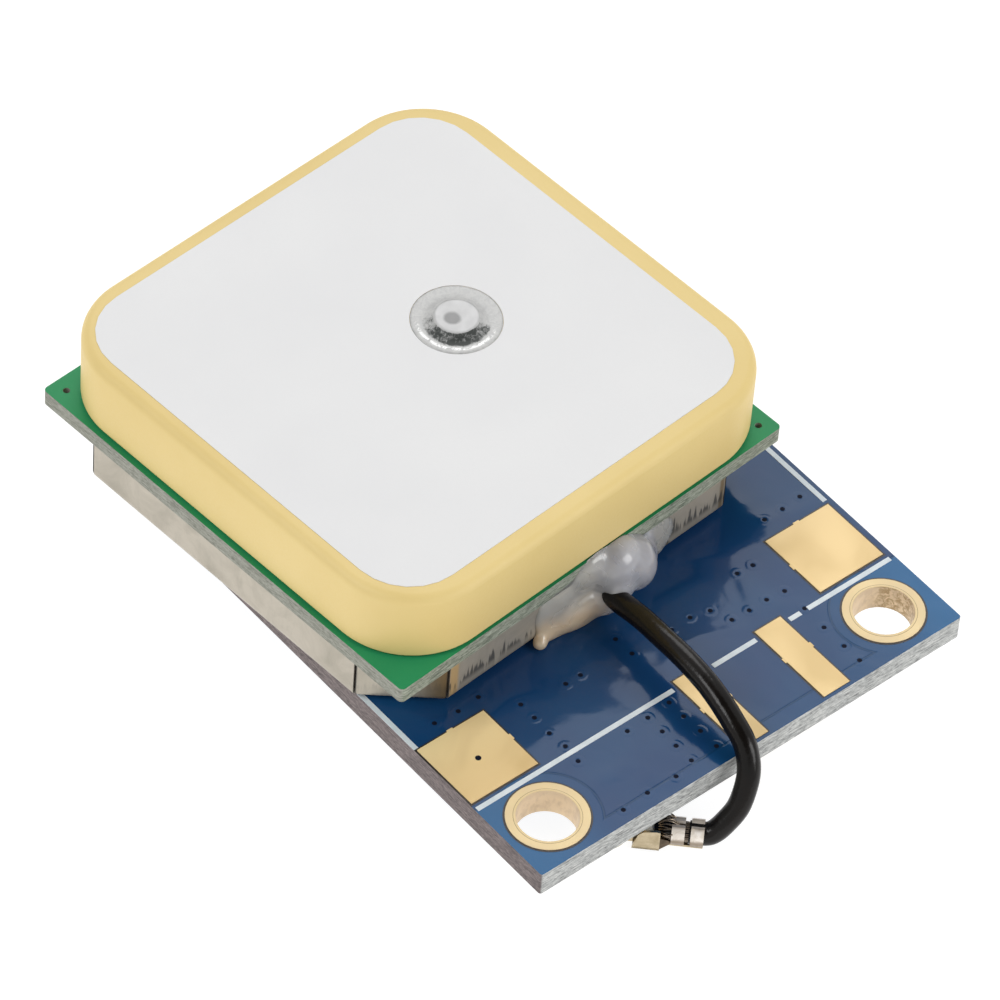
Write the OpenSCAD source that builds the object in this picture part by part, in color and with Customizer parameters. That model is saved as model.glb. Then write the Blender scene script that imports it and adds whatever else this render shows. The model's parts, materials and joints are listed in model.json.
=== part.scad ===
// Satellite receiver module: a main board carries a ceramic patch antenna in a shield can,
// and a short coax lead runs from the can over the front edge to a push-fit plug under the board.
// Origin: midway between the two front mounting holes, on the main board's upper face.
// X runs along the front edge, Y towards the antenna, Z up. Millimetres.

/* [Main board] */
// Width along the front edge
board_w = 26; // [25:0.5:32]
// Length from front to rear
board_l = 33.8; // [33:0.2:40]
// Thickness of the board
board_t = 1.4; // [0.8:0.1:2]
// Radius of the outline's corners
board_corner_r = 0.15; // [0.1:0.05:1]
// Sideways shift of the outline from the drilled pattern
outline_shift = 0.15; // [0:0.05:0.4]

/* [Mounting holes] */
// Distance of a hole's centre from the side edge
hole_inset_x = 2.6; // [2.4:0.1:3.2]
// Distance of a hole's centre from the front or rear edge
hole_inset_y = 2.5; // [2.3:0.1:3]
// Bore of a plated hole
hole_d = 3; // [2.2:0.1:3.2]
// Width of the gold ring round the bore
ring_w = 0.5; // [0.3:0.05:0.6]
// Thickness of the plating and of the gold pads
plating_t = 0.05; // [0.03:0.01:0.1]

/* [Gold pads] */
// Side of a square pad
square_pad = 4; // [3:0.1:4.4]
// Gap between a square pad and the side edge
square_pad_gap = 0.25; // [0.15:0.05:0.5]
// Distance of the square pads' centres behind the front holes
square_pad_y = 4.7; // [4.5:0.1:6]
// Width of a narrow pad at the front edge
edge_pad_w = 1.6; // [1:0.1:2]
// Length of a narrow pad
edge_pad_l = 5; // [3:0.1:6]
// Distance between the two narrow pads
edge_pad_pitch = 5.1; // [4:0.1:5.6]
// Place of the narrow pads' middle along the front edge
edge_pad_x = 2.85; // [2:0.05:4]
// Gap between a narrow pad and the front edge
edge_pad_gap = 0.2; // [0.1:0.05:0.5]

/* [Header holes] */
// Number of header holes
header_count = 4; // [2:1:6]
// Distance between header holes
header_pitch = 2.54; // [2:0.02:2.54]
// Bore of a plated header hole
header_d = 1; // [0.8:0.05:1.1]
// Width of the ring round a header hole
header_ring_w = 0.3; // [0.2:0.05:0.4]
// Distance of the header holes from the rear edge
header_inset = 1.4; // [1.2:0.1:2]

/* [Antenna place] */
// Sideways place of the antenna's centre
antenna_x = -1.7; // [-2:0.1:1]
// Distance of the antenna's centre behind the front holes
antenna_y = 20.9; // [20:0.1:22]
// Angle at which the antenna is stuck on
antenna_turn = 4.35; // [0:0.05:6]
// Side of the mounting tape
tape_w = 13; // [10:0.5:13.5]
// Thickness of the mounting tape
tape_t = 0.2; // [0.1:0.05:0.5]

/* [Shield can] */
// Step from the antenna board's edge in to the can's wall
can_inset = 0.25; // [0.2:0.05:0.8]
// Height of the can
can_h = 2.8; // [2.4:0.1:4]
// Thickness of the sheet
can_t = 0.2; // [0.15:0.01:0.3]
// Length of each cut corner along the sides
can_cut = 3.1; // [2:0.1:4]
// Outside radius of the folds
can_bend_r = 0.45; // [0.35:0.05:0.7]
// Gap of the seams between folded walls
can_seam = 0.12; // [0.06:0.02:0.3]
// Reach of the cable window to the left of the can's middle
window_left = 3.2; // [2.4:0.1:4]
// Reach of the cable window to the right of the can's middle
window_right = 5.4; // [4.4:0.1:6.5]
// Radius of the largest lobe of glue at the window
glue_r = 1.7; // [1.5:0.05:1.9]
// Width of the strip of wall above the cable window
window_strip = 0.2; // [0.15:0.05:0.4]

/* [Antenna board] */
// Side of the antenna board
green_w = 25; // [24.6:0.1:27]
// Thickness of the antenna board
green_t = 0.9; // [0.6:0.1:1.6]
// Radius of the antenna board's corners
green_corner_r = 0.25; // [0.1:0.05:1]
// Bore of the small holes in two of its corners
corner_hole_d = 0.35; // [0.25:0.05:0.7]
// Distance of the corner holes from the edges
corner_hole_inset = 0.8; // [0.6:0.05:1.2]

/* [Ceramic patch] */
// How much wider the ceramic is than the antenna board
patch_over = 0.2; // [-0.6:0.1:0.4]
// Thickness of the ceramic
patch_t = 4; // [2:0.1:6]
// Radius of the ceramic's upright corners
patch_corner_r = 4.3; // [3:0.1:6]
// Radius of the ceramic's upper edge
patch_edge_r = 0.5; // [0.2:0.05:0.8]
// Sideways shift of the ceramic on the antenna board
patch_shift_x = 0.35; // [-0.4:0.05:0.4]
// Shift of the ceramic to the rear of the antenna board
patch_shift_y = 0.15; // [-0.4:0.05:0.4]
// Thickness of the adhesive film below the ceramic
film_t = 0.1; // [0.05:0.01:0.2]
// Margin between the film and the ceramic's sides
film_margin = 0.6; // [0.4:0.1:2]
// Margin of bare ceramic round the silver electrode
electrode_margin = 1; // [0.8:0.1:2.5]
// Radius of the electrode's corners
electrode_corner_r = 3; // [2:0.1:4]
// Thickness of the electrode
electrode_t = 0.03; // [0.02:0.01:0.06]

/* [Feed pin] */
// Distance of the pin from the ceramic's middle
pin_offset = 2.4; // [1:0.1:4]
// Diameter of the pin
pin_d = 1; // [0.7:0.05:1.4]
// Diameter of the pin's head
pin_head_d = 2.2; // [1.8:0.1:2.8]
// Thickness of the pin's head
pin_head_t = 0.3; // [0.2:0.02:0.5]
// Diameter of the dimple in the head
pin_dimple_d = 0.9; // [0.5:0.1:1.2]
// Diameter of the solder dome round the head
dome_d = 4.2; // [3.6:0.1:4.8]
// Gap between the solder dome and the electrode
dome_gap = 0.15; // [0.05:0.05:0.3]
// Length of the pin below the antenna board
pin_tail = 0.6; // [0.4:0.05:1]

/* [Coax lead and plug] */
// Diameter of the coax jacket
coax_d = 1.13; // [1:0.01:1.3]
// Diameter of the bare braid
braid_d = 0.88; // [0.8:0.01:0.94]
// Diameter of the insulated core
core_d = 0.66; // [0.5:0.01:0.74]
// Diameter of the centre conductor
wire_d = 0.24; // [0.18:0.01:0.3]
// Distance of the socket from the left front hole
socket_gap = 3.55; // [3.5:0.05:5]
// Distance of the socket behind the front holes
socket_y = -0.1; // [-0.5:0.05:1]
// Angle of the plug's tail from the front edge
plug_turn = 45; // [30:1:60]
// Outside diameter of the plug's shell
shell_d = 2.7; // [2.5:0.05:2.9]
// Height of the plug and socket when mated
mated_h = 2.3; // [2.2:0.02:2.4]
// Thickness of the plug's sheet
shell_t = 0.14; // [0.1:0.01:0.18]
// Distance of the braid crimp from the socket's axis
crimp_place = 3.5; // [3.3:0.05:4]
// Distance between the two crimps
crimp_pitch = 0.9; // [0.8:0.05:1.2]
// Width of a crimp band
crimp_w = 0.62; // [0.4:0.02:0.7]
// Side of the socket's base
socket_w = 2.6; // [2.4:0.05:2.8]
// Thickness of the socket's base
socket_base_t = 0.35; // [0.25:0.01:0.5]

/* [Receiver] */
// Sideways place of the receiver
receiver_x = 1; // [0:0.1:1.2]
// Distance of the receiver behind the front holes
receiver_y = 18; // [17.4:0.1:20]
// Width of the receiver's board
receiver_w = 12.2; // [10:0.1:12.6]
// Length of the receiver's board
receiver_l = 16; // [12:0.1:16.6]
// Thickness of the receiver's board
receiver_board_t = 0.8; // [0.6:0.05:1]
// Height of the receiver's shield lid
shield_h = 1.6; // [1.5:0.05:2]
// Thickness of the lid's sheet
shield_t = 0.2; // [0.1:0.01:0.25]
// Margin between the lid and the edge of the receiver's board
shield_margin = 0.45; // [0.4:0.05:0.8]
// Number of edge contacts on each side
contact_count = 12; // [6:1:12]
// Distance between edge contacts
contact_pitch = 1.1; // [1:0.05:1.15]

/* [Underside parts] */
// Diameter of the backup cell
cell_d = 6.8; // [4.8:0.1:7]
// Height of the backup cell
cell_h = 1.9; // [1.4:0.1:2]
// Thickness of the cell's tabs
tab_t = 0.15; // [0.1:0.01:0.2]
// Length of the memory chip
memory_l = 4.9; // [4:0.1:5.2]
// Width of the memory chip's body
memory_w = 3.9; // [3:0.1:4]
// Height of the memory chip
memory_h = 1.5; // [1:0.05:1.75]
// Gap between the memory chip's leads and the receiver
memory_gap = 0.4; // [0.3:0.1:0.8]
// Length of the regulator
regulator_l = 2.9; // [2.4:0.1:3.1]
// Width of the regulator's body
regulator_w = 1.6; // [1.2:0.05:1.8]
// Height of the regulator
regulator_h = 1.2; // [0.9:0.05:1.45]
// Length of a chip resistor or capacitor
chip_l = 1.6; // [1:0.1:2]
// Width of a chip resistor or capacitor
chip_w = 0.8; // [0.5:0.05:1]
// Gap between the parts at the sides and the board's edge
side_gap = 0.6; // [0.4:0.1:0.8]

/* [Covered chips] */
// Length of the amplifier chip
amplifier_l = 2; // [1.5:0.1:2.5]
// Width of the amplifier chip
amplifier_w = 1.3; // [1:0.1:1.6]
// Height of the amplifier chip
amplifier_h = 0.9; // [0.6:0.05:1.1]
// Side of the filter
filter_w = 3; // [2:0.1:3.4]
// Height of the filter
filter_h = 1.1; // [0.7:0.05:1.4]
// Length of a small part beside the amplifier
passive_l = 1; // [0.6:0.1:1.2]
// Width and height of a small part beside the amplifier
passive_w = 0.5; // [0.3:0.05:0.6]
// Side of the receiver's chip
receiver_chip_w = 5; // [4:0.1:6]
// Height of the receiver's chip
receiver_chip_h = 0.9; // [0.6:0.05:1.1]
// Length of the receiver's crystal
crystal_l = 2.5; // [2:0.1:3]
// Width of the receiver's crystal
crystal_w = 2; // [1.6:0.1:2.4]
// Height of the receiver's crystal
crystal_h = 0.8; // [0.6:0.05:1]

/* [Hidden] */
$fn = 48;

// Room left round a pin, a barrel or a lead where it sits in a hole
fit_clear = 0.01;
// Room left round the jacket in the glue and in its crimp
lead_clear = 0.05;
// Overshoot of a cut past the face that it opens
cut_over = 0.1;

// Edges of the main board
board_left = outline_shift - board_w / 2;
board_right = outline_shift + board_w / 2;
board_front = -hole_inset_y;
board_rear = board_l - hole_inset_y;
// Places of the mounting holes
hole_x = board_w / 2 - hole_inset_x;
hole_rear_y = board_l - 2 * hole_inset_y;
hole_places = [for (x = [-hole_x, hole_x], y = [0, hole_rear_y]) [x, y]];
barrel_d = hole_d + 2 * plating_t;
ring_d = hole_d + 2 * ring_w;
// Places of the header holes
header_y = board_rear - header_inset;
header_places = [for (i = [0 : header_count - 1]) [(i - (header_count - 1) / 2) * header_pitch, header_y]];
header_barrel_d = header_d + 2 * plating_t;
header_ring_d = header_d + 2 * header_ring_w;
// Places of the gold pads
square_pad_x = board_w / 2 - square_pad_gap - square_pad / 2;
edge_pad_y = board_front + edge_pad_gap + edge_pad_l / 2;
centre_pad_w = 1.4;

// Sides of the can, the ceramic and the electrode
can_w = green_w - 2 * can_inset;
patch_w = green_w + patch_over;
electrode_w = patch_w - 2 * electrode_margin;
// Levels of the antenna stack
can_z = tape_t;
green_z = can_z + can_h;
film_z = green_z + green_t;
patch_z = film_z + film_t;
patch_top = patch_z + patch_t;
electrode_top = patch_top + electrode_t;
// Electrode's shift against the ceramic
electrode_shift = [-0.2, 0.1];
// Feed pin's place on the antenna
pin_x = patch_shift_x + pin_offset;
pin_y = patch_shift_y;
pin_hole_d = pin_d + 0.2;
dome_h = pin_head_t * 0.8;
// Cable window: its upper edge above the can's floor, and the radius of its right end
window_h = can_h - can_t - window_strip;
window_r = window_h * 0.9;

// Place of the socket, and the level of the lead in the plug
socket_x = socket_gap - hole_x;
coax_r = coax_d / 2;
lead_z = mated_h - coax_r - shell_t;
jacket_end = crimp_place + crimp_pitch / 2;
// Way of the plug's tail, and the jacket's end in it
tail_way = [cos(plug_turn), -sin(plug_turn), 0];
tail_at = [socket_x, socket_y, -board_t - lead_z] + (jacket_end + lead_clear) * tail_way;

// Route of the coax jacket: from inside the can, through the glue, over the front edge and into the crimp
wall_line = antenna_y - can_w / 2;
coax_route = [
    [0.2, wall_line + 1.75, can_z + can_h * 0.57], [0.1, wall_line + 0.25, can_z + can_h * 0.52],
    [0, wall_line - 1.25, can_z + can_h * 0.47], [-0.2, 5.6, 1.7], [-0.45, 3.8, 1.9],
    [-0.55, 2.2, 2], [-0.6, 0.6, 1.9], [-0.6, -0.6, 1.65], [-0.65, -1.7, 1.3], [-0.7, -2.5, 0.9],
    [-0.85, -3.1, 0.35], [-1.1, -3.55, -0.25], [-1.5, -3.85, -0.95],
    tail_at + [2.05, -1.1, 1.35], tail_at + [1.45, -1.05, 0.7], tail_at + [0.95, -0.85, 0.2],
    tail_at + 0.78 * tail_way, tail_at
];
coax_sides = 10;
coax_steps = 2;
// Lobes of the glue: place along the wall, step out of it, share of the can's height, size
glue_lobes = [
    [1.2, -0.18, 0.82, 1], [2, -0.06, 0.72, 0.88], [0.4, -0.53, 0.48, 0.56],
    [-0.24, -0.01, 0.39, 0.74], [-0.94, 0.02, 0.29, 0.53], [-1.53, 0.03, 0.22, 0.38]
];
// Direction of the lead where it enters the can
coax_in = (coax_route[0] - coax_route[2]) / norm(coax_route[0] - coax_route[2]);
// Lengths of bare braid, core and wire inside the can
bare_braid_l = 1.2;
bare_core_l = 0.6;
bare_wire_l = 0.7;

// Levels of the plug below the main board
shell_r = shell_d / 2;
ring_r = shell_r - shell_t - 0.05;
ring_t = 0.15;
ring_h = 0.9;
ring_top = socket_base_t + ring_h;
shell_rim = socket_base_t + 0.25;
insulator_z = ring_top + 0.05;
neck_end = crimp_place - crimp_w / 2 - 0.5;
neck_half_w = 0.75;
spine_half_w = 0.35;
braid_start = neck_end + 0.15;
socket_pin_d = 0.5;
contact_d = 0.85;
foot_l = 0.25;
foot_w = 1;
crimp_slit = 0.12;

// Places of the underside parts
shield_w = receiver_w - 2 * shield_margin;
shield_l = receiver_l - 2 * shield_margin;
memory_span = memory_w + 2.1;
memory_x = receiver_x - receiver_w / 2 - memory_gap - memory_span / 2;
memory_y = receiver_y - 3;
regulator_span = regulator_w + 1.2;
regulator_x = memory_x;
regulator_y = memory_y + memory_l / 2 + regulator_l / 2 + 1.2;
cell_x = board_right - side_gap - cell_d / 2;
cell_y = receiver_y - receiver_l / 2 - cell_d / 2 - 0.6;
tab_w = 2;
tab_reach = 1.2;
chip_h = 0.5;
chip_cap = 0.3;
chip_step = chip_w + 0.6;
right_chip_x = board_right - side_gap - chip_l / 2;
left_chip_x = board_left + side_gap + chip_l / 2;
resistor_places = [for (i = [0 : 3]) [right_chip_x, receiver_y + 1 + i * chip_step]];
capacitor_places = concat(
    [for (i = [0 : 2]) [right_chip_x, receiver_y - 4.5 + i * chip_step]],
    [for (i = [0 : 1]) [left_chip_x, memory_y - memory_l / 2 - 1.5 - i * chip_step]]
);
light_place = [right_chip_x, receiver_y + 1 + 5 * chip_step];
chip_places = concat(resistor_places, capacitor_places, [light_place]);
// Places of the small parts inside the can, on the antenna board's lower face
amplifier_x = -2 * amplifier_l;
filter_x = amplifier_x - amplifier_l / 2 - filter_w / 2 - passive_l;
passive_places = [
    for (x = [amplifier_x - amplifier_l / 2, amplifier_x + amplifier_l / 2 + passive_l], k = [1 : 3])
        [x, -k * (amplifier_w + 2 * passive_w) / 1.5]
];

// Points of a quarter circle about [x, y] that starts at the given angle
function quarter(x, y, r, start, steps) =
    [for (i = [0 : steps]) [x + r * cos(start + 90 * i / steps), y + r * sin(start + 90 * i / steps)]];

// Outline of a rectangle with round corners, about its middle
function round_rect(w, l, r, steps = 6) = concat(
    quarter(w / 2 - r, l / 2 - r, r, 0, steps), quarter(r - w / 2, l / 2 - r, r, 90, steps),
    quarter(r - w / 2, r - l / 2, r, 180, steps), quarter(w / 2 - r, r - l / 2, r, 270, steps)
);

// Octagon: a square with its corners cut off
function cut_square(w, cut) = [
    [w / 2, cut - w / 2], [w / 2, w / 2 - cut], [w / 2 - cut, w / 2], [cut - w / 2, w / 2],
    [-w / 2, w / 2 - cut], [-w / 2, cut - w / 2], [cut - w / 2, -w / 2], [w / 2 - cut, -w / 2]
];

// Point on the smooth curve through p1 and p2 whose neighbours are p0 and p3
function on_curve(p0, p1, p2, p3, t) = 0.5 * (2 * p1 + (p2 - p0) * t
    + (2 * p0 - 5 * p1 + 4 * p2 - p3) * t * t + (3 * p1 - p0 - 3 * p2 + p3) * t * t * t);

// Route with extra points on its smooth curve
function smooth_route(p, steps) = let (n = len(p)) concat(
    [for (i = [0 : n - 2], k = [0 : steps - 1])
        on_curve(p[max(i - 1, 0)], p[i], p[i + 1], p[min(i + 2, n - 1)], k / steps)],
    [p[n - 1]]
);

function unit(v) = v / norm(v);

// Ring of points round a route at one of its points, square to the route
function tube_ring(p, i, r, sides) =
    let (along = unit(p[min(i + 1, len(p) - 1)] - p[max(i - 1, 0)]))
    let (side = unit(cross(along, [1, 0, 0.3])))
    let (up = cross(side, along))
    [for (k = [0 : sides - 1]) p[i] + r * (cos(360 * k / sides) * side + sin(360 * k / sides) * up)];

// Solid tube along a route
module tube_along(p, r, sides) {
    rings = len(p);
    points = [for (i = [0 : rings - 1]) each tube_ring(p, i, r, sides)];
    walls = [for (i = [0 : rings - 2], k = [0 : sides - 1])
        let (a = i * sides + k, b = i * sides + (k + 1) % sides)
        each [[a, b, b + sides], [a, b + sides, a + sides]]];
    first_cap = [for (k = [0 : sides - 1]) sides - 1 - k];
    last_cap = [for (k = [0 : sides - 1]) (rings - 1) * sides + k];
    polyhedron(points, concat([first_cap], walls, [last_cap]));
}

// Block centred over [x, y], standing on z = 0
module block(size) {
    translate([-size[0] / 2, -size[1] / 2, 0])
        cube(size);
}

// Plate with round upright corners, standing on z = 0
module plate(w, l, r, t) {
    linear_extrude(t)
        polygon(round_rect(w, l, r));
}

// Rod from one point to another
module rod(from, to, d) {
    way = to - from;
    translate(from)
        rotate([0, acos(way[2] / norm(way)), atan2(way[1], way[0])])
            cylinder(h = norm(way), d = d);
}

// Frame of the antenna, turned as it is stuck on
module on_antenna() {
    translate([antenna_x, antenna_y, 0])
        rotate([0, 0, antenna_turn])
            children();
}

// Frame below the main board, with z counted downwards from its lower face
module below_board() {
    translate([0, 0, -board_t])
        mirror([0, 0, 1])
            children();
}

// Frame below the antenna board, with z counted downwards from its lower face
module below_green() {
    on_antenna()
        translate([0, 0, green_z])
            mirror([0, 0, 1])
                children();
}

// Frame of the plug: x runs along its tail, z is counted downwards from the main board
module at_plug() {
    translate([socket_x, socket_y, 0])
        rotate([0, 0, -plug_turn])
            below_board()
                children();
}

// Plated barrel through the main board with a ring on each face
module plated_hole(bore, ring) {
    r0 = bore / 2;
    r1 = r0 + plating_t;
    r2 = ring / 2;
    rotate_extrude()
        polygon([
            [r0, -board_t - plating_t], [r2, -board_t - plating_t], [r2, -board_t], [r1, -board_t],
            [r1, 0], [r2, 0], [r2, plating_t], [r0, plating_t]
        ]);
}

module main_board() {
    color([0.08, 0.2, 0.45])
        difference() {
            translate([outline_shift, (board_front + board_rear) / 2, -board_t])
                plate(board_w, board_l, board_corner_r, board_t);
            for (p = hole_places)
                translate([p[0], p[1], -board_t - cut_over])
                    cylinder(h = board_t + 2 * cut_over, d = barrel_d + 2 * fit_clear);
            for (p = header_places)
                translate([p[0], p[1], -board_t - cut_over])
                    cylinder(h = board_t + 2 * cut_over, d = header_barrel_d + 2 * fit_clear);
        }
}

module hole_plating() {
    color([0.85, 0.68, 0.35])
        for (p = hole_places)
            translate([p[0], p[1], 0])
                plated_hole(hole_d, ring_d);
}

module header_plating() {
    color([0.85, 0.68, 0.35])
        for (p = header_places)
            translate([p[0], p[1], 0])
                plated_hole(header_d, header_ring_d);
}

module square_pads() {
    color([0.88, 0.72, 0.4])
        for (x = [-square_pad_x, square_pad_x])
            translate([x, square_pad_y, 0])
                block([square_pad, square_pad, plating_t]);
}

// Narrow pads: two on the upper face, two below them and one between those for the centre pin
module edge_pads() {
    color([0.88, 0.72, 0.4]) {
        for (side = [-1, 1])
            translate([edge_pad_x + side * edge_pad_pitch / 2, edge_pad_y, 0]) {
                block([edge_pad_w, edge_pad_l, plating_t]);
                below_board()
                    block([edge_pad_w, edge_pad_l, plating_t]);
            }
        translate([edge_pad_x, edge_pad_y, 0])
            below_board()
                block([centre_pad_w, edge_pad_l, plating_t]);
    }
}

module mounting_tape() {
    color([0.9, 0.9, 0.86])
        on_antenna()
            block([tape_w, tape_w, tape_t]);
}

// Side view of one folded wall: a strip of floor, the fold and the upright sheet
function wall_profile(strip) = concat(
    [[-strip, 0]],
    quarter(-can_bend_r, can_bend_r, can_bend_r, 270, 5),
    [[0, can_h], [-can_t, can_h]],
    [for (i = [5 : -1 : 0]) quarter(-can_bend_r, can_bend_r, can_bend_r - can_t, 270, 5)[i]],
    [[-strip, can_t]]
);

// One wall of the can: its outer face stands at x = 0 and its length runs along y, with mitred ends
module can_wall(length) {
    depth = can_bend_r + can_seam;
    half_l = length / 2 - can_seam / 2;
    half_in = half_l - depth * tan(22.5);
    intersection() {
        translate([0, length / 2, 0])
            rotate([90, 0, 0])
                linear_extrude(length)
                    polygon(wall_profile(depth));
        translate([0, 0, -cut_over])
            linear_extrude(can_h + 2 * cut_over)
                polygon([
                    [cut_over, half_l + cut_over * tan(22.5)],
                    [-depth - cut_over, half_in - cut_over * tan(22.5)],
                    [-depth - cut_over, cut_over * tan(22.5) - half_in],
                    [cut_over, -half_l - cut_over * tan(22.5)]
                ]);
    }
}

// Cable window in the front wall, in the can's own frame, reaching from y = from to y = to
module cable_window(from, to) {
    translate([0, to, can_t])
        rotate([90, 0, 0])
            linear_extrude(to - from)
                polygon(concat(
                    [[-window_left, 0], [window_right, 0]],
                    quarter(window_right - window_r, window_h - window_r, window_r, 0, 8),
                    [[-window_left, window_h]]
                ));
}

module shield_can() {
    side_l = can_w - 2 * can_cut;
    corner_l = can_cut * sqrt(2);
    corner_place = (can_w - can_cut) / sqrt(2);
    floor_w = can_w - 2 * can_bend_r;
    floor_cut = can_cut - can_bend_r * (2 - sqrt(2));
    color([0.72, 0.69, 0.64])
        on_antenna()
            translate([0, 0, can_z])
                difference() {
                    union() {
                        linear_extrude(can_t)
                            polygon(cut_square(floor_w, floor_cut));
                        for (k = [0 : 3])
                            rotate([0, 0, 90 * k]) {
                                translate([can_w / 2, 0, 0])
                                    can_wall(side_l);
                                rotate([0, 0, 45])
                                    translate([corner_place, 0, 0])
                                        can_wall(corner_l);
                            }
                    }
                    cable_window(-can_w / 2 - cut_over, -can_w / 2 + can_bend_r);
                }
}

module antenna_board() {
    hole_place = green_w / 2 - corner_hole_inset;
    color([0.16, 0.5, 0.3])
        on_antenna()
            translate([0, 0, green_z])
                difference() {
                    plate(green_w, green_w, green_corner_r, green_t);
                    for (side = [-1, 1])
                        translate([side * hole_place, -side * hole_place, -cut_over])
                            cylinder(h = green_t + 2 * cut_over, d = corner_hole_d);
                    translate([pin_x, pin_y, -cut_over])
                        cylinder(h = green_t + 2 * cut_over, d = pin_d + 2 * fit_clear);
                }
}

module amplifier_chip() {
    color([0.12, 0.12, 0.13])
        below_green()
            translate([amplifier_x, amplifier_w, 0])
                block([amplifier_l, amplifier_w, amplifier_h]);
}

module saw_filter() {
    color([0.8, 0.74, 0.6])
        below_green()
            translate([filter_x, amplifier_w, 0])
                block([filter_w, filter_w, filter_h]);
}

module antenna_passives() {
    color([0.66, 0.58, 0.48])
        below_green()
            for (p = passive_places)
                translate([p[0], p[1], 0])
                    block([passive_l, passive_w, passive_w]);
}

module patch_film() {
    w = patch_w - 2 * film_margin;
    color([0.85, 0.83, 0.75])
        on_antenna()
            translate([patch_shift_x, patch_shift_y, film_z])
                difference() {
                    plate(w, w, patch_corner_r - film_margin, film_t);
                    translate([pin_offset, 0, -cut_over])
                        cylinder(h = film_t + 2 * cut_over, d = pin_hole_d);
                }
}

// Corner post of the ceramic: a round post whose upper edge is rounded
module patch_corner() {
    rotate_extrude($fn = 64)
        polygon(concat(
            [[0, 0], [patch_corner_r, 0]],
            quarter(patch_corner_r - patch_edge_r, patch_t - patch_edge_r, patch_edge_r, 0, 5),
            [[0, patch_t]]
        ));
}

module ceramic_patch() {
    place = patch_w / 2 - patch_corner_r;
    color([0.9, 0.8, 0.54])
        on_antenna()
            translate([patch_shift_x, patch_shift_y, patch_z])
                difference() {
                    hull()
                        for (x = [-place, place], y = [-place, place])
                            translate([x, y, 0])
                                patch_corner();
                    translate([pin_offset, 0, -cut_over])
                        cylinder(h = patch_t + 2 * cut_over, d = pin_hole_d);
                }
}

module patch_electrode() {
    color([0.9, 0.9, 0.9])
        on_antenna()
            translate([patch_shift_x, patch_shift_y, patch_top])
                difference() {
                    translate(electrode_shift)
                        plate(electrode_w, electrode_w, electrode_corner_r, electrode_t);
                    translate([pin_offset, 0, -cut_over])
                        cylinder(h = electrode_t + 2 * cut_over, d = dome_d + 2 * dome_gap);
                }
}

// Pin with a flat dimpled head that stands on the ceramic
module feed_pin() {
    head_top = patch_top + pin_head_t;
    head_r = pin_head_d / 2;
    edge = pin_head_t / 3;
    dimple_r = pin_dimple_d / 2;
    color([0.78, 0.78, 0.78])
        on_antenna()
            translate([pin_x, pin_y, 0])
                rotate_extrude()
                    polygon([
                        [0, green_z - pin_tail], [pin_d / 2, green_z - pin_tail], [pin_d / 2, patch_top],
                        [head_r, patch_top], [head_r, head_top - edge], [head_r - edge, head_top],
                        [dimple_r, head_top], [dimple_r * 0.6, head_top - edge], [0, head_top - edge]
                    ]);
}

// Solder dome round the pin's head
module feed_solder() {
    head_r = pin_head_d / 2 + fit_clear;
    dome_r = dome_d / 2;
    color([0.7, 0.7, 0.72])
        on_antenna()
            translate([pin_x, pin_y, patch_top])
                rotate_extrude()
                    polygon([
                        [head_r, 0], [dome_r, 0], [dome_r - 0.12, dome_h * 0.4],
                        [dome_r - 0.4, dome_h * 0.75], [head_r + 0.3, dome_h], [head_r, dome_h]
                    ]);
}

// Solder cone round the pin's tail, below the antenna board
module feed_joint() {
    pin_r = pin_d / 2 + fit_clear;
    color([0.7, 0.7, 0.72])
        below_green()
            translate([pin_x, pin_y, 0])
                rotate_extrude()
                    polygon([
                        [pin_r, 0],
                        [pin_r + 0.7, 0],
                        [pin_r + 0.25, pin_tail * 0.4],
                        [pin_r, pin_tail * 0.8]
                    ]);
}

module coax_jacket() {
    color([0.07, 0.07, 0.07])
        tube_along(smooth_route(coax_route, coax_steps), coax_r, coax_sides);
}

// Bare braid: inside the can, and in the plug's braid crimp
module coax_braid() {
    start = coax_route[0];
    color([0.6, 0.52, 0.42]) {
        rod(start, start + bare_braid_l * coax_in, braid_d);
        at_plug()
            rod([braid_start, 0, lead_z], [jacket_end, 0, lead_z], braid_d);
    }
}

// Insulated core and centre wire at both ends of the lead
module coax_core() {
    start = coax_route[0] + bare_braid_l * coax_in;
    core_end = start + bare_core_l * coax_in;
    color([0.92, 0.9, 0.85]) {
        rod(start, core_end, core_d);
        rod(core_end, core_end + bare_wire_l * coax_in, wire_d);
        at_plug() {
            rod([shell_r, 0, lead_z], [braid_start, 0, lead_z], core_d);
            rod([contact_d / 2, 0, lead_z], [shell_r, 0, lead_z], wire_d);
        }
    }
}

// Solder beads that hold the braid and the wire to the antenna board's lower face
module coax_joints() {
    braid_at = coax_route[0] + bare_braid_l / 2 * coax_in;
    wire_at = coax_route[0] + (bare_braid_l + bare_core_l + bare_wire_l / 2) * coax_in;
    beads = [[braid_at, braid_d / 2, 0.2], [wire_at, wire_d / 2, 0.3]];
    color([0.7, 0.7, 0.72])
        for (b = beads)
            difference() {
                translate([b[0][0], b[0][1], b[0][2]])
                    cylinder(h = green_z - b[0][2], r1 = b[1], r2 = b[1] + b[2]);
                rod(coax_route[0], coax_route[0] + 3 * coax_in, 2 * b[1] + 2 * fit_clear);
            }
}

// One round lobe of the glue at the can's wall
module glue_lobe(lobe, wall_y) {
    translate([glue_r * lobe[0], wall_y + glue_r * lobe[1], can_z + can_h * lobe[2]])
        sphere(r = glue_r * lobe[3], $fn = 20);
}

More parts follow.
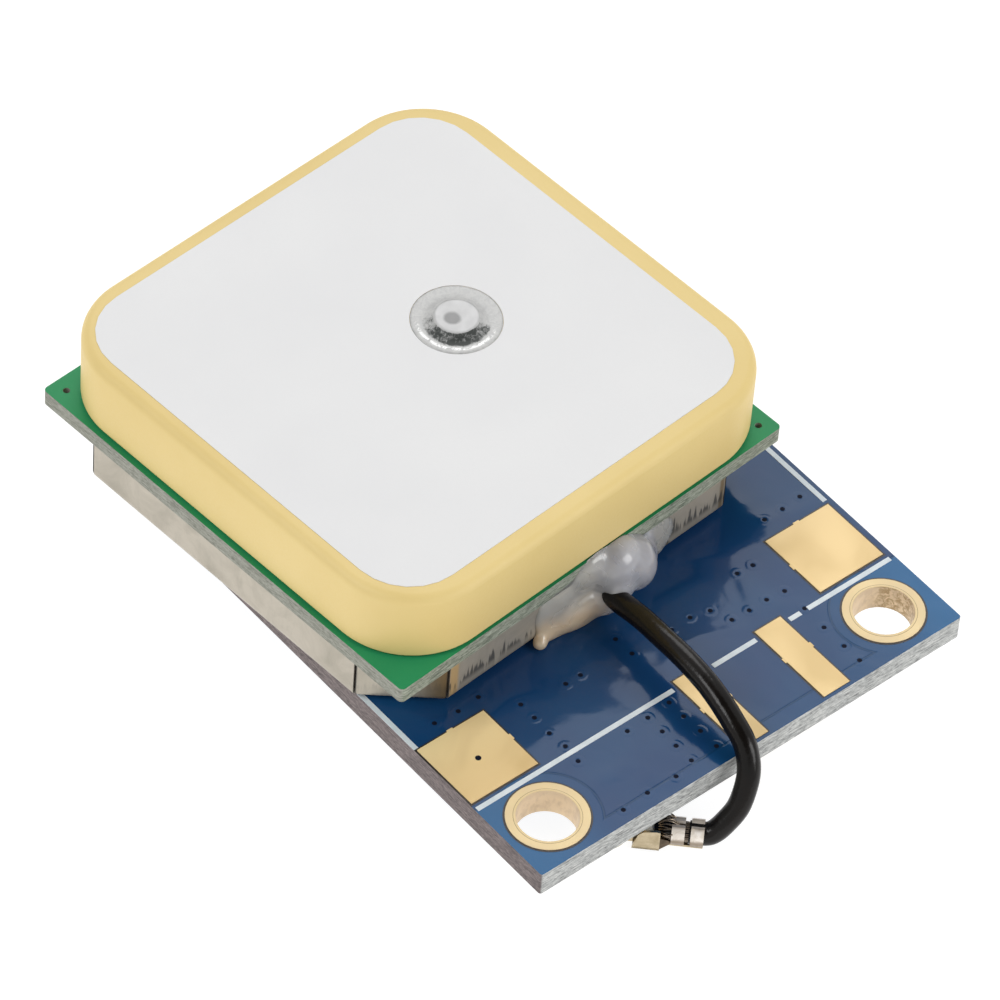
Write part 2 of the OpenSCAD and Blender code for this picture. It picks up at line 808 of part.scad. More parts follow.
// Glue round the cable window, pressed against the can, the antenna board, the ceramic and the main board
module sealing_glue() {
    wall_y = -can_w / 2;
    color([0.82, 0.83, 0.85, 0.7])
        difference() {
            on_antenna()
                difference() {
                    union() {
                        hull()
                            for (k = [0 : 2])
                                glue_lobe(glue_lobes[k], wall_y);
                        hull()
                            for (k = [2 : 5])
                                glue_lobe(glue_lobes[k], wall_y);
                    }
                    translate([-can_w / 2, wall_y, -cut_over])
                        cube([can_w, can_cut, green_z + 2 * cut_over]);
                    translate([-green_w / 2, -green_w / 2, green_z])
                        cube([green_w, can_cut, green_t + film_t]);
                    translate([-patch_w / 2, patch_shift_y - patch_w / 2, film_z])
                        cube([patch_w, can_cut, patch_t]);
                    translate([-can_w / 2, wall_y - can_w, -can_w])
                        cube([can_w, 2 * can_w, can_w]);
                }
            rod(coax_route[2] - coax_in, coax_route[0], coax_d + 4 * lead_clear);
        }
}

// Stamped plug: a round cup, a trough for the core, a spine and two crimp bands
module plug_shell() {
    spine_end = crimp_place + crimp_pitch + crimp_w / 2;
    crimp_bores = [[crimp_place, braid_d], [crimp_place + crimp_pitch, coax_d + lead_clear]];
    color([0.82, 0.76, 0.62])
        at_plug()
            difference() {
                union() {
                    difference() {
                        union() {
                            translate([0, 0, shell_rim])
                                cylinder(h = mated_h - shell_rim, r = shell_r);
                            translate([0, -neck_half_w, lead_z - core_d])
                                cube([neck_end, 2 * neck_half_w, mated_h - lead_z + core_d]);
                        }
                        translate([0, 0, shell_rim - cut_over])
                            cylinder(h = mated_h - shell_t - shell_rim + cut_over, r = shell_r - shell_t);
                        translate([0, shell_t - neck_half_w, lead_z - core_d - cut_over])
                            cube([neck_end + cut_over, 2 * (neck_half_w - shell_t),
                                mated_h - shell_t - lead_z + core_d + cut_over]);
                    }
                    translate([shell_r, -spine_half_w, mated_h - shell_t])
                        cube([spine_end - shell_r, 2 * spine_half_w, shell_t]);
                    for (c = crimp_bores)
                        translate([c[0] - crimp_w / 2, 0, lead_z])
                            rotate([0, 90, 0])
                                cylinder(h = crimp_w, d = coax_d + 2 * shell_t);
                }
                for (c = crimp_bores)
                    translate([c[0] - crimp_w / 2 - cut_over / 2, 0, lead_z])
                        rotate([0, 90, 0])
                            cylinder(h = crimp_w + cut_over, d = c[1] + 2 * fit_clear);
                translate([neck_end, -crimp_slit / 2, 0])
                    cube([spine_end - neck_end + cut_over, crimp_slit, lead_z]);
            }
}

module plug_insulator() {
    h = mated_h - shell_t - insulator_z;
    color([0.93, 0.92, 0.88])
        at_plug()
            difference() {
                translate([0, 0, insulator_z])
                    cylinder(h = h, r = shell_r - shell_t - fit_clear);
                translate([0, 0, insulator_z - cut_over])
                    cylinder(h = h + 2 * cut_over, d = contact_d + 2 * fit_clear);
                translate([0, -wire_d, insulator_z - cut_over])
                    cube([shell_r, 2 * wire_d, h + 2 * cut_over]);
            }
}

// Spring contact: a small sleeve that grips the socket's pin
module plug_contact() {
    low = ring_top - 0.4;
    color([0.85, 0.7, 0.38])
        at_plug()
            difference() {
                translate([0, 0, low])
                    cylinder(h = mated_h - shell_t - 0.1 - low, d = contact_d);
                translate([0, 0, low - cut_over])
                    cylinder(h = 0.5 + cut_over, d = socket_pin_d + 2 * fit_clear);
            }
}

// Solder feet of the socket's ring, in the plug's frame without its turn
module socket_feet() {
    for (side = [-1, 1])
        translate([side * (socket_w / 2 + foot_l + ring_r - ring_t) / 2, 0, 0])
            block([socket_w / 2 + foot_l - ring_r + ring_t, foot_w, socket_base_t]);
}

module at_socket() {
    translate([socket_x, socket_y, 0])
        below_board()
            children();
}

module socket_base() {
    color([0.9, 0.88, 0.8])
        at_socket()
            difference() {
                block([socket_w, socket_w, socket_base_t]);
                socket_feet();
                translate([0, 0, -cut_over])
                    cylinder(h = socket_base_t + 2 * cut_over, d = socket_pin_d + 2 * fit_clear);
            }
}

module socket_ring() {
    color([0.85, 0.7, 0.38])
        at_socket() {
            socket_feet();
            translate([0, 0, socket_base_t])
                difference() {
                    cylinder(h = ring_h, r = ring_r);
                    translate([0, 0, -cut_over])
                        cylinder(h = ring_h + 2 * cut_over, r = ring_r - ring_t);
                }
        }
}

module socket_pin() {
    color([0.85, 0.7, 0.38])
        at_socket()
            cylinder(h = ring_top - 0.2, d = socket_pin_d);
}

// Receiver's board with half-round contacts along its long sides
module receiver_board() {
    color([0.1, 0.16, 0.12])
        below_board()
            translate([receiver_x, receiver_y, 0])
                difference() {
                    block([receiver_w, receiver_l, receiver_board_t]);
                    for (side = [-1, 1], i = [0 : contact_count - 1])
                        translate([side * receiver_w / 2, 0, -cut_over])
                            translate([0, (i - (contact_count - 1) / 2) * contact_pitch, 0])
                                cylinder(h = receiver_board_t + 2 * cut_over, r = contact_pitch / 4);
                }
}

// Drawn lid with an open side towards the receiver's board
module receiver_shield() {
    shield_in_w = shield_w - 2 * shield_t;
    shield_in_l = shield_l - 2 * shield_t;
    color([0.75, 0.75, 0.74])
        below_board()
            translate([receiver_x, receiver_y, receiver_board_t])
                difference() {
                    plate(shield_w, shield_l, 0.6, shield_h);
                    translate([0, 0, -cut_over])
                        plate(shield_in_w, shield_in_l, 0.4, shield_h - shield_t + cut_over);
                }
}

module receiver_chip() {
    color([0.12, 0.12, 0.13])
        below_board()
            translate([receiver_x, receiver_y + receiver_l / 8, receiver_board_t])
                block([receiver_chip_w, receiver_chip_w, receiver_chip_h]);
}

module receiver_crystal() {
    color([0.8, 0.76, 0.66])
        below_board()
            translate([receiver_x - receiver_w / 8, receiver_y - receiver_l / 4, receiver_board_t])
                block([crystal_l, crystal_w, crystal_h]);
}

// Moulded chip body with sloped sides, its length along y
module chip_body(w, l, h, lift) {
    slope = 0.12;
    translate([0, l / 2, lift])
        rotate([90, 0, 0])
            linear_extrude(l)
                polygon([
                    [slope - w / 2, 0],
                    [w / 2 - slope, 0],
                    [w / 2, (h - lift) / 2],
                    [w / 2 - slope, h - lift],
                    [slope - w / 2, h - lift],
                    [-w / 2, (h - lift) / 2]
                ]);
}

// Row of bent leads on one side of a chip whose body has the width w
module bent_leads(w, span, places, lead_w, h, lift) {
    t = 0.2;
    mid = lift + (h - lift) / 2;
    shoulder = w / 2 + (span - w) / 4;
    for (y = places)
        translate([0, y + lead_w / 2, 0])
            rotate([90, 0, 0])
                linear_extrude(lead_w)
                    polygon([
                        [w / 2, mid - t / 2], [shoulder - t, mid - t / 2], [shoulder - t, 0], [span / 2, 0],
                        [span / 2, t], [shoulder, t], [shoulder, mid + t / 2], [w / 2, mid + t / 2]
                    ]);
}

module memory_chip() {
    color([0.1, 0.1, 0.11])
        below_board()
            translate([memory_x, memory_y, 0])
                chip_body(memory_w, memory_l, memory_h, 0.1);
}

module memory_leads() {
    places = [for (i = [0 : 3]) (i - 1.5) * memory_l / 3.9];
    color([0.75, 0.75, 0.75])
        below_board()
            translate([memory_x, memory_y, 0])
                for (turn = [0, 180])
                    rotate([0, 0, turn])
                        bent_leads(memory_w, memory_span, places, 0.42, memory_h, 0.1);
}

module regulator() {
    color([0.1, 0.1, 0.11])
        below_board()
            translate([regulator_x, regulator_y, 0])
                chip_body(regulator_w, regulator_l, regulator_h, 0.1);
}

module regulator_leads() {
    step = regulator_l / 3.05;
    color([0.75, 0.75, 0.75])
        below_board()
            translate([regulator_x, regulator_y, 0]) {
                bent_leads(regulator_w, regulator_span, [-step, 0, step], 0.4, regulator_h, 0.1);
                rotate([0, 0, 180])
                    bent_leads(regulator_w, regulator_span, [-step, step], 0.4, regulator_h, 0.1);
            }
}

// Coin cell with a stepped, crimped rim
module backup_cell() {
    r = cell_d / 2;
    color([0.76, 0.76, 0.76])
        below_board()
            translate([cell_x, cell_y, tab_t])
                rotate_extrude()
                    polygon([
                        [0, 0], [r * 0.72, 0], [r * 0.76, cell_h * 0.15], [r - 0.15, cell_h * 0.15],
                        [r, cell_h * 0.25], [r, cell_h - 0.25], [r - 0.25, cell_h], [0, cell_h]
                    ]);
}

// Tabs of the cell: one below it, and one over it that steps down to the board
module cell_tabs() {
    r = cell_d / 2;
    over = tab_t + cell_h;
    color([0.78, 0.77, 0.74])
        below_board()
            translate([cell_x, cell_y, 0]) {
                translate([-r - tab_reach, -tab_w / 2, 0])
                    cube([r + tab_reach, tab_w, tab_t]);
                translate([-tab_w / 2, 0, 0])
                    rotate([90, 0, 90])
                        linear_extrude(tab_w)
                            polygon([
                                [0, over], [r + fit_clear, over], [r + fit_clear, 0], [r + tab_reach, 0],
                                [r + tab_reach, tab_t], [r + fit_clear + tab_t, tab_t],
                                [r + fit_clear + tab_t, over + tab_t], [0, over + tab_t]
                            ]);
            }
}

// Bodies of chip parts between their end caps
module chip_bodies(places, h) {
    below_board()
        for (p = places)
            translate([p[0], p[1], 0])
                block([chip_l - 2 * chip_cap, chip_w, h]);
}

module resistors() {
    color([0.12, 0.12, 0.12])
        chip_bodies(resistor_places, chip_h);
}

module capacitors() {
    color([0.62, 0.5, 0.38])
        chip_bodies(capacitor_places, chip_h);
}

module status_light() {
    color([0.9, 0.92, 0.85])
        chip_bodies([light_place], chip_h + 0.1);
}

module chip_terminals() {
    color([0.8, 0.8, 0.8])
        below_board()
            for (p = chip_places, side = [-1, 1])
                translate([p[0] + side * (chip_l - chip_cap) / 2, p[1], 0])
                    block([chip_cap, chip_w, chip_h]);
}

main_board();
hole_plating();
square_pads();
edge_pads();
header_plating();
mounting_tape();
shield_can();
antenna_board();
amplifier_chip();
saw_filter();
antenna_passives();
patch_film();
ceramic_patch();
patch_electrode();
feed_pin();
feed_solder();
feed_joint();
coax_jacket();
coax_braid();
coax_core();
coax_joints();
sealing_glue();
plug_shell();
plug_insulator();
plug_contact();
socket_base();
socket_ring();
socket_pin();
receiver_board();
receiver_shield();
receiver_chip();
receiver_crystal();
memory_chip();
memory_leads();
regulator();
regulator_leads();
backup_cell();
cell_tabs();
status_light();
resistors();
capacitors();
chip_terminals();
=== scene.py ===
"""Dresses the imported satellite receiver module: finishes, printed detail, lead, glue, light and camera.

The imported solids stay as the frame. Smooth or fine pieces are modelled here in millimetres, then set
into the row frame in metres. Nothing moves, so every piece rides on the one body, "root".
"""
from __future__ import annotations

import json
import logging
import math
from dataclasses import dataclass
from enum import Enum
from typing import Iterable, Sequence

import bmesh
import bpy
from mathutils import Matrix, Vector

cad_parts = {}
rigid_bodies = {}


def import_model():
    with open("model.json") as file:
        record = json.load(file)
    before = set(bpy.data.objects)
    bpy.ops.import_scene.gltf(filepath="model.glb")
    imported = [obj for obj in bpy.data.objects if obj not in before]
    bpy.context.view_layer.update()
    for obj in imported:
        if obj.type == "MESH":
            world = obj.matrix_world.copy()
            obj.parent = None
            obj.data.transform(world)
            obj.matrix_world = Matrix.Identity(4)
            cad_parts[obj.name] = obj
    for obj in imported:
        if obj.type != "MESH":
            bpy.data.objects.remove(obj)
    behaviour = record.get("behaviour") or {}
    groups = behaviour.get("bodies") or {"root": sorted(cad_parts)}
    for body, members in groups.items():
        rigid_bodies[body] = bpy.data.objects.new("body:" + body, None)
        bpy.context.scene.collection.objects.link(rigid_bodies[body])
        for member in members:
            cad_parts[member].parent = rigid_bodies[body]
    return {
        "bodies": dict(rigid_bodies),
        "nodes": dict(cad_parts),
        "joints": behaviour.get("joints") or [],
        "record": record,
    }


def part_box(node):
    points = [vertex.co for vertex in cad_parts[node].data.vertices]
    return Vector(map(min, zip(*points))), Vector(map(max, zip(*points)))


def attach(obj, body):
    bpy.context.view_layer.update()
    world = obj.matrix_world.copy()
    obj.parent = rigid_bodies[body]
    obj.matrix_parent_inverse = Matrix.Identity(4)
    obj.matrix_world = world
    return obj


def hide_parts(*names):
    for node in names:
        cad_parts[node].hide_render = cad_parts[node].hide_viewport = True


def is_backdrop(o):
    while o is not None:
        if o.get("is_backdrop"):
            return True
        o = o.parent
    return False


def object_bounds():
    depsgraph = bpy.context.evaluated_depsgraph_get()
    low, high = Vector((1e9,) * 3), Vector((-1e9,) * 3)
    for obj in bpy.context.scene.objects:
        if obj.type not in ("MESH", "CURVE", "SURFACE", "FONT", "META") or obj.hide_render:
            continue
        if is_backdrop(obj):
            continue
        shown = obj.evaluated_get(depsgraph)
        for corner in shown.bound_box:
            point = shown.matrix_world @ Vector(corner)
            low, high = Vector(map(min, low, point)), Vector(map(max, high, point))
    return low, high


LOG = logging.getLogger("receiver_module")
MM = 0.001
BODY = "root"
Colour = tuple[float, float, float]
Point = tuple[float, float, float]
Spot = tuple[float, float]
Profile = tuple[Spot, ...]
Socket = bpy.types.NodeSocket
Value = Socket | float
Material, Object = bpy.types.Material, bpy.types.Object
BMesh, BMVert = bmesh.types.BMesh, bmesh.types.BMVert
BMEdge, BMFace = bmesh.types.BMEdge, bmesh.types.BMFace

# Places shared by several pieces, in millimetres and degrees
BOARD_THICK = 1.4
ANTENNA_AT = (-1.7, 20.9)
ANTENNA_TURN = 4.35
MIRROR = Matrix.Diagonal((1.0, 1.0, -1.0, 1.0))
ANTENNA = Matrix.Translation((*ANTENNA_AT, 0.0)) @ Matrix.Rotation(math.radians(ANTENNA_TURN), 4, "Z")
FEED = ANTENNA @ Matrix.Translation((2.75, 0.15, 0.0))
PLUG = Matrix.Translation((-6.85, -0.1, -BOARD_THICK)) @ Matrix.Rotation(math.radians(-45.0), 4, "Z") @ MIRROR
LOWER_FACE = Matrix.Translation((0.0, 0.0, -BOARD_THICK)) @ MIRROR
# Middle of the feed pin and of the pit in its head, in metres
FEED_SPOT = (FEED.translation.x * MM, FEED.translation.y * MM)
PIT_SPOT = ((FEED.translation.x - 0.26) * MM, (FEED.translation.y + 0.02) * MM)


class Op(Enum):
    """Sums that a finish works out with a math node."""

    TIMES = "MULTIPLY"
    OVER = "DIVIDE"
    PLUS = "ADD"
    MINUS = "SUBTRACT"
    SIZE = "ABSOLUTE"
    ROOT = "SQRT"
    LEAST = "MINIMUM"
    MOST = "MAXIMUM"


class Slot(Enum):
    """Material slots of the record, one named for each new piece; the piece's finish comes from its looks."""

    BOARD = "board_blue"
    GOLD = "gold"
    SOLDER = "solder"
    CERAMIC = "ceramic"
    CABLE = "cable_black"
    BRAID = "braid"
    PLUG = "plug_metal"
    GLUE = "glue"


def rgba(colour: Colour) -> tuple[float, float, float, float]:
    """Gives the colour with full opacity."""
    return (*colour, 1.0)


def dim(colour: Colour, share: float) -> Colour:
    """Gives a darker shade of a colour."""
    return tuple(share * c for c in colour)


class Shader:
    """Builder of one node material around a Principled BSDF."""

    def __init__(self, name: str) -> None:
        """Starts an empty material.

        Args:
            name: Name of the material.
        """
        self.material = bpy.data.materials.new(name)
        self.material.use_nodes = True
        self.tree = self.material.node_tree
        self.tree.nodes.clear()
        self.surface = self.tree.nodes.new("ShaderNodeBsdfPrincipled")
        output = self.tree.nodes.new("ShaderNodeOutputMaterial")
        self.tree.links.new(self.surface.outputs["BSDF"], output.inputs["Surface"])
        self.coords = self.tree.nodes.new("ShaderNodeTexCoord").outputs["Object"]

    def put(self, **values: float | Sequence[float]) -> None:
        """Sets constants on the surface's own sockets; an underscore in a name stands for a space."""
        for name, value in values.items():
            self.surface.inputs[name.replace("_", " ")].default_value = value

    def join(self, socket: Socket, name: str) -> None:
        """Links a socket to one of the surface's inputs."""
        self.tree.links.new(socket, self.surface.inputs[name])

    def feed(self, socket: Socket, value: Value | Sequence[float]) -> None:
        """Links a socket, or sets a constant on it.

        Args:
            socket: Input to feed.
            value: Socket or constant.
        """
        if isinstance(value, Socket):
            self.tree.links.new(value, socket)
        else:
            socket.default_value = value

    def spread(self, scale: Point = (1.0, 1.0, 1.0), turn: float = 0.0, place: Spot = (0.0, 0.0)) -> Socket:
        """Maps the object's coordinates.

        Args:
            scale: Scale of each axis.
            turn: Turn about z in degrees.
            place: Shift along x and y in metres.

        Returns:
            The mapped vector.
        """
        node = self.tree.nodes.new("ShaderNodeMapping")
        self.tree.links.new(self.coords, node.inputs["Vector"])
        node.inputs["Scale"].default_value = scale
        node.inputs["Rotation"].default_value = (0.0, 0.0, math.radians(turn))
        node.inputs["Location"].default_value = (*place, 0.0)
        return node.outputs["Vector"]

    def noise(self, scale: float, detail: float, rough: float, warp: float = 0.0,
              vector: Socket | None = None) -> Socket:
        """Adds a noise texture.

        Args:
            scale: Features per metre.
            detail: Octaves.
            rough: Weight of the finer octaves.
            warp: Distortion.
            vector: Mapped coordinates, or the object's own.

        Returns:
            The noise's value.
        """
        node = self.tree.nodes.new("ShaderNodeTexNoise")
        self.tree.links.new(vector or self.coords, node.inputs["Vector"])
        for name, value in (("Scale", scale), ("Detail", detail), ("Roughness", rough), ("Distortion", warp)):
            node.inputs[name].default_value = value
        return node.outputs[0]

    def ramp(self, value: Socket, stops: Iterable[tuple[float, Colour]]) -> Socket:
        """Turns a value into a colour.

        Args:
            value: Value from 0 to 1.
            stops: Places and colours.

        Returns:
            The colour.
        """
        node = self.tree.nodes.new("ShaderNodeValToRGB")
        self.tree.links.new(value, node.inputs[0])
        elements = node.color_ramp.elements
        for index, (place, colour) in enumerate(stops):
            element = elements[index] if index < 2 else elements.new(place)
            element.position = place
            element.color = rgba(colour)
        return node.outputs["Color"]

    def mix(self, share: Socket, first: Socket | Colour, second: Socket | Colour) -> Socket:
        """Mixes two colours.

        Args:
            share: Share of the second colour.
            first: First colour.
            second: Second colour.

        Returns:
            The mixed colour.
        """
        node = self.tree.nodes.new("ShaderNodeMix")
        node.data_type = "RGBA"
        self.feed(node.inputs[0], share)
        for index, colour in ((6, first), (7, second)):
            self.feed(node.inputs[index], colour if isinstance(colour, Socket) else rgba(colour))
        return node.outputs[2]

    def math(self, operation: Op, first: Value, second: Value = 0.0) -> Socket:
        """Adds a math node.

        Args:
            operation: Sum to work out.
            first: First value.
            second: Second value.

        Returns:
            The result.
        """
        node = self.tree.nodes.new("ShaderNodeMath")
        node.operation = operation.value
        self.feed(node.inputs[0], first)
        self.feed(node.inputs[1], second)
        return node.outputs[0]

    def times(self, first: Value, second: Value) -> Socket:
        """Multiplies two values."""
        return self.math(Op.TIMES, first, second)

    def plus(self, first: Value, second: Value) -> Socket:
        """Adds two values."""
        return self.math(Op.PLUS, first, second)

    def minus(self, first: Value, second: Value) -> Socket:
        """Takes the second value from the first."""
        return self.math(Op.MINUS, first, second)

    def off(self, value: Socket, middle: float) -> Socket:
        """Gives how far a value lies from a middle one."""
        return self.math(Op.SIZE, self.minus(value, middle))

    def weigh(self, first: Socket, of_first: float, second: Socket, of_second: float) -> Socket:
        """Adds two values by their weights."""
        return self.plus(self.times(first, of_first), self.times(second, of_second))

    def span(self, value: Socket, low: float, high: float, start: float = 0.0, end: float = 1.0) -> Socket:
        """Maps a value from low and high to start and end, smoothly and clamped.

        Args:
            value: Value to map.
            low: Value that gives start.
            high: Value that gives end.
            start: First result.
            end: Last result.

        Returns:
            The mapped value.
        """
        node = self.tree.nodes.new("ShaderNodeMapRange")
        node.interpolation_type = "SMOOTHSTEP"
        for index, number in enumerate((value, low, high, start, end)):
            self.feed(node.inputs[index], number)
        return node.outputs[0]

    def axes(self, vector: Socket | None = None) -> tuple[Socket, Socket, Socket]:
        """Splits a vector, or the object's coordinates.

        Args:
            vector: Vector to split.

        Returns:
            Its x, y and z.
        """
        node = self.tree.nodes.new("ShaderNodeSeparateXYZ")
        self.tree.links.new(vector or self.coords, node.inputs[0])
        return node.outputs[0], node.outputs[1], node.outputs[2]

    def around(self, middle: Spot) -> tuple[Socket, Socket, Socket]:
        """Measures from an upright line.

        Args:
            middle: Place of the line, in metres.

        Returns:
            The way along x, the way along y and the distance.
        """
        x, y, _ = self.axes()
        across, ahead = self.minus(x, middle[0]), self.minus(y, middle[1])
        return across, ahead, self.length(across, ahead)

    def length(self, across: Socket, ahead: Socket) -> Socket:
        """Gives the length of a way along x and y."""
        return self.math(Op.ROOT, self.plus(self.times(across, across), self.times(ahead, ahead)))

    def facing(self) -> list[Socket]:
        """Gives the size of the surface normal along x, y and z."""
        normal = self.tree.nodes.new("ShaderNodeNewGeometry").outputs["True Normal"]
        return [self.math(Op.SIZE, way) for way in self.axes(normal)]

    def dress(self, tone: Socket, rough: Socket, height: Socket, depth: float, strength: float = 0.6) -> None:
        """Joins a finish to the surface.

        Args:
            tone: Colour.
            rough: Roughness.
            height: Height from 0 to 1, which bends the surface normal.
            depth: Depth of a height of 1, in metres.
            strength: Strength of the bend.
        """
        node = self.tree.nodes.new("ShaderNodeBump")
        node.inputs["Strength"].default_value = strength
        node.inputs["Distance"].default_value = depth
        self.tree.links.new(height, node.inputs["Height"])
        self.join(tone, "Base Color")
        self.join(rough, "Roughness")
        self.join(node.outputs["Normal"], "Normal")


@dataclass(frozen=True)
class Finish:
    """One finish. Each kind paints its own way on a new node material. Places and depths in metres."""

    name: str

    def make(self) -> Material:
        """Builds the finish.

        Returns:
            The node material.
        """
        s = Shader(self.name)
        self.paint(s)
        return s.material

    def paint(self, s: Shader) -> None:
        """Paints the finish on a shader."""
        raise NotImplementedError


@dataclass(frozen=True)
class MetalFinish(Finish):
    """Sheet, plated or solder metal with blotches, fine scratches and uneven gloss."""

    bright: Colour
    dull: Colour
    gloss: Spot = (0.2, 0.35)
    blotch: float = 700.0
    grain: float = 9000.0
    relief: float = 2.0e-6
    lay: Point = (1.0, 1.0, 1.0)
    metal: float = 1.0

    def paint(self, s: Shader) -> None:
        """Paints the blotches and the scratches.

        Args:
            s: Shader of the metal.
        """
        patches = s.noise(self.blotch, 5.0, 0.6, 0.4)
        scratches = s.noise(self.grain, 3.0, 0.6, vector=s.spread(self.lay))
        tone = s.ramp(patches, ((0.3, self.dull), (0.62, self.bright)))
        tone = s.mix(s.span(scratches, 0.35, 0.75, 0.0, 0.35), tone, self.dull)
        rough = s.span(patches, 0.25, 0.75, self.gloss[1], self.gloss[0])
        s.put(Metallic=self.metal)
        s.dress(tone, rough, s.plus(scratches, patches), self.relief)


@dataclass(frozen=True)
class PadFinish(Finish):
    """Gold pads of the main board, with painted light that makes them paler on the left, painted shade on the
    front of the left pad, and slow clouds in the plating.
    """

    left: Colour
    right: Colour
    dull: Colour
    edge: float = 0.009
    shade_x: Spot = (-0.006, -0.003)
    shade_y: Spot = (0.0028, 0.0062)

    def paint(self, s: Shader) -> None:
        """Paints the painted-light drift from a paler left to a darker right, the painted shade on the front of
        the left pad, and the clouds.

        Args:
            s: Shader of the pads.
        """
        x, y, _ = s.axes()
        cloud = s.noise(260.0, 3.0, 0.5, 0.8)
        # Painted light: the pads grow paler towards the left.
        tone = s.mix(s.span(x, -self.edge, 0.0), self.left, self.right)
        # Painted shade: the dull colour darkens the front of the left pad.
        shade = s.times(s.span(y, *self.shade_y, 1.0, 0.0), s.span(x, *self.shade_x, 1.0, 0.0))
        share = s.plus(s.times(shade, 0.75), s.span(cloud, 0.45, 0.7, 0.0, 0.2))
        rough = s.span(cloud, 0.3, 0.7, 0.36, 0.5)
        s.put(Metallic=0.15)
        s.dress(s.mix(share, tone, self.dull), rough, s.noise(6000.0, 3.0, 0.6), 1.2e-6)


@dataclass(frozen=True)
class PlatedHoleFinish(Finish):
    """Gold ring with a duller, finely scored bore, with painted shade at the top of the bore and painted dark
    reflections in a crinkled pattern on the right of the right hole.
    """

    ring: Colour
    bore: Colour
    score_and_shade: Colour
    painted_dark: Colour
    painted_dark_from: float = 0.0108
    painted_dark_over: float = 7.0e-4

    def paint(self, s: Shader) -> None:
        """Paints the scored bore with its painted shade at the top and its painted dark reflections on the right,
        and the clouded ring.

        Args:
            s: Shader of the holes.
        """
        flat = s.span(s.facing()[2], 0.3, 0.7)
        x, _, z = s.axes()
        scores = s.noise(1.0, 4.0, 0.6, 0.3, vector=s.spread((2600.0, 2600.0, 1500.0)))
        wall = s.mix(s.span(scores, 0.42, 0.7), self.bore, self.score_and_shade)
        # Painted shade: the scoring colour darkens the top of the bore.
        wall = s.mix(s.span(z, -0.0005, 0.0, 0.0, 0.5), wall, self.score_and_shade)
        # Painted reflection: crinkled dark glints on the right side of the right hole's bore.
        dark_glint_pattern = s.span(s.noise(3200.0, 4.0, 0.65, 1.2), 0.4, 0.6)
        painted_dark = s.times(s.span(x, self.painted_dark_from, self.painted_dark_from + self.painted_dark_over), dark_glint_pattern)
        wall = s.mix(painted_dark, wall, self.painted_dark)
        cloud = s.noise(700.0, 3.0, 0.5)
        face = s.mix(s.span(cloud, 0.4, 0.7, 0.0, 0.35), self.ring, self.bore)
        s.put(Metallic=0.12)
        s.dress(s.mix(flat, wall, face), s.span(cloud, 0.3, 0.7, 0.36, 0.5), scores, 6.0e-6)


@dataclass(frozen=True)
class PinFinish(Finish):
    """Flat head of the feed pin with painted shade in a soft grey dimple beside its middle."""

    light: Colour
    dull: Colour
    pit_shade: Colour
    middle: Spot
    radius: float = 0.00042
    fade: float = 2.2e-4
    ragged: float = 1.2e-4

    def paint(self, s: Shader) -> None:
        """Paints the head and the painted shade in its dimple.

        Args:
            s: Shader of the head.
        """
        away = s.around(self.middle)[2]
        grain = s.noise(4200.0, 4.0, 0.6, 0.4)
        slow = s.noise(1300.0, 2.0, 0.5)
        edge = s.plus(away, s.times(s.plus(grain, slow), self.ragged))
        # Painted shade: grey darkens the dimple, with a soft ragged edge.
        pit_shade = s.span(edge, self.radius, self.radius + self.fade, 1.0, 0.0)
        face = s.mix(s.span(slow, 0.35, 0.65), self.light, self.dull)
        s.put(Metallic=0.2)
        s.dress(s.mix(pit_shade, face, self.pit_shade), s.span(grain, 0.3, 0.7, 0.42, 0.55), grain, 3.0e-6)


@dataclass(frozen=True)
class CollarFinish(Finish):
    """Solder round the pin: pale and satin, with a mottled painted dark reflection on the slope of its front left
    side and a painted glint on its lip.
    """

    bright: Colour
    dull: Colour
    dark: Colour
    glint: Colour
    middle: Spot
    dark_reflection_side: Spot
    dark_reflection_inner: Spot = (1.06e-3, 1.16e-3)
    dark_reflection_outer: Spot = (1.6e-3, 1.95e-3)
    lip: float = 1.93e-3

    def paint(self, s: Shader) -> None:
        """Paints the solder, its painted dark reflection and the painted glint on its lip.

        Args:
            s: Shader of the collar.
        """
        across, ahead, away = s.around(self.middle)
        # Painted reflection: a mottled dark patch on the slope of the front left side.
        lean = s.math(Op.OVER, s.weigh(across, self.dark_reflection_side[0], ahead, self.dark_reflection_side[1]), away)
        grain = s.noise(3600.0, 5.0, 0.72, 0.9)
        slope = s.times(s.span(away, *self.dark_reflection_inner), s.span(away, *self.dark_reflection_outer, 1.0, 0.0))
        low = s.times(slope, s.span(lean, -0.32, 0.32))
        speck = s.noise(6500.0, 4.0, 0.7, 0.6)
        clump = s.times(s.minus(s.noise(1100.0, 1.0, 0.4), 0.5), 0.9)
        broken = s.plus(clump, s.weigh(grain, 1.1, speck, 0.7))
        weight = s.times(low, s.span(lean, 0.5, 0.95, 0.62, 0.88))
        dark = s.span(s.plus(weight, broken), 1.3, 1.75)
        tone = s.mix(s.span(grain, 0.4, 0.6), self.dull, self.bright)
        # Painted highlight: a glint along the lip on the front left side.
        lip = s.span(s.off(away, self.lip), 0.2e-4, 1.3e-4, 1.0, 0.0)
        glint = s.times(s.times(lip, s.span(lean, 0.1, 0.6)), s.span(grain, 0.4, 0.55))
        tone = s.mix(glint, tone, self.glint)
        s.put(Metallic=0.15)
        s.dress(s.mix(dark, tone, self.dark), s.span(grain, 0.3, 0.7, 0.36, 0.55), grain, 2.0e-5)


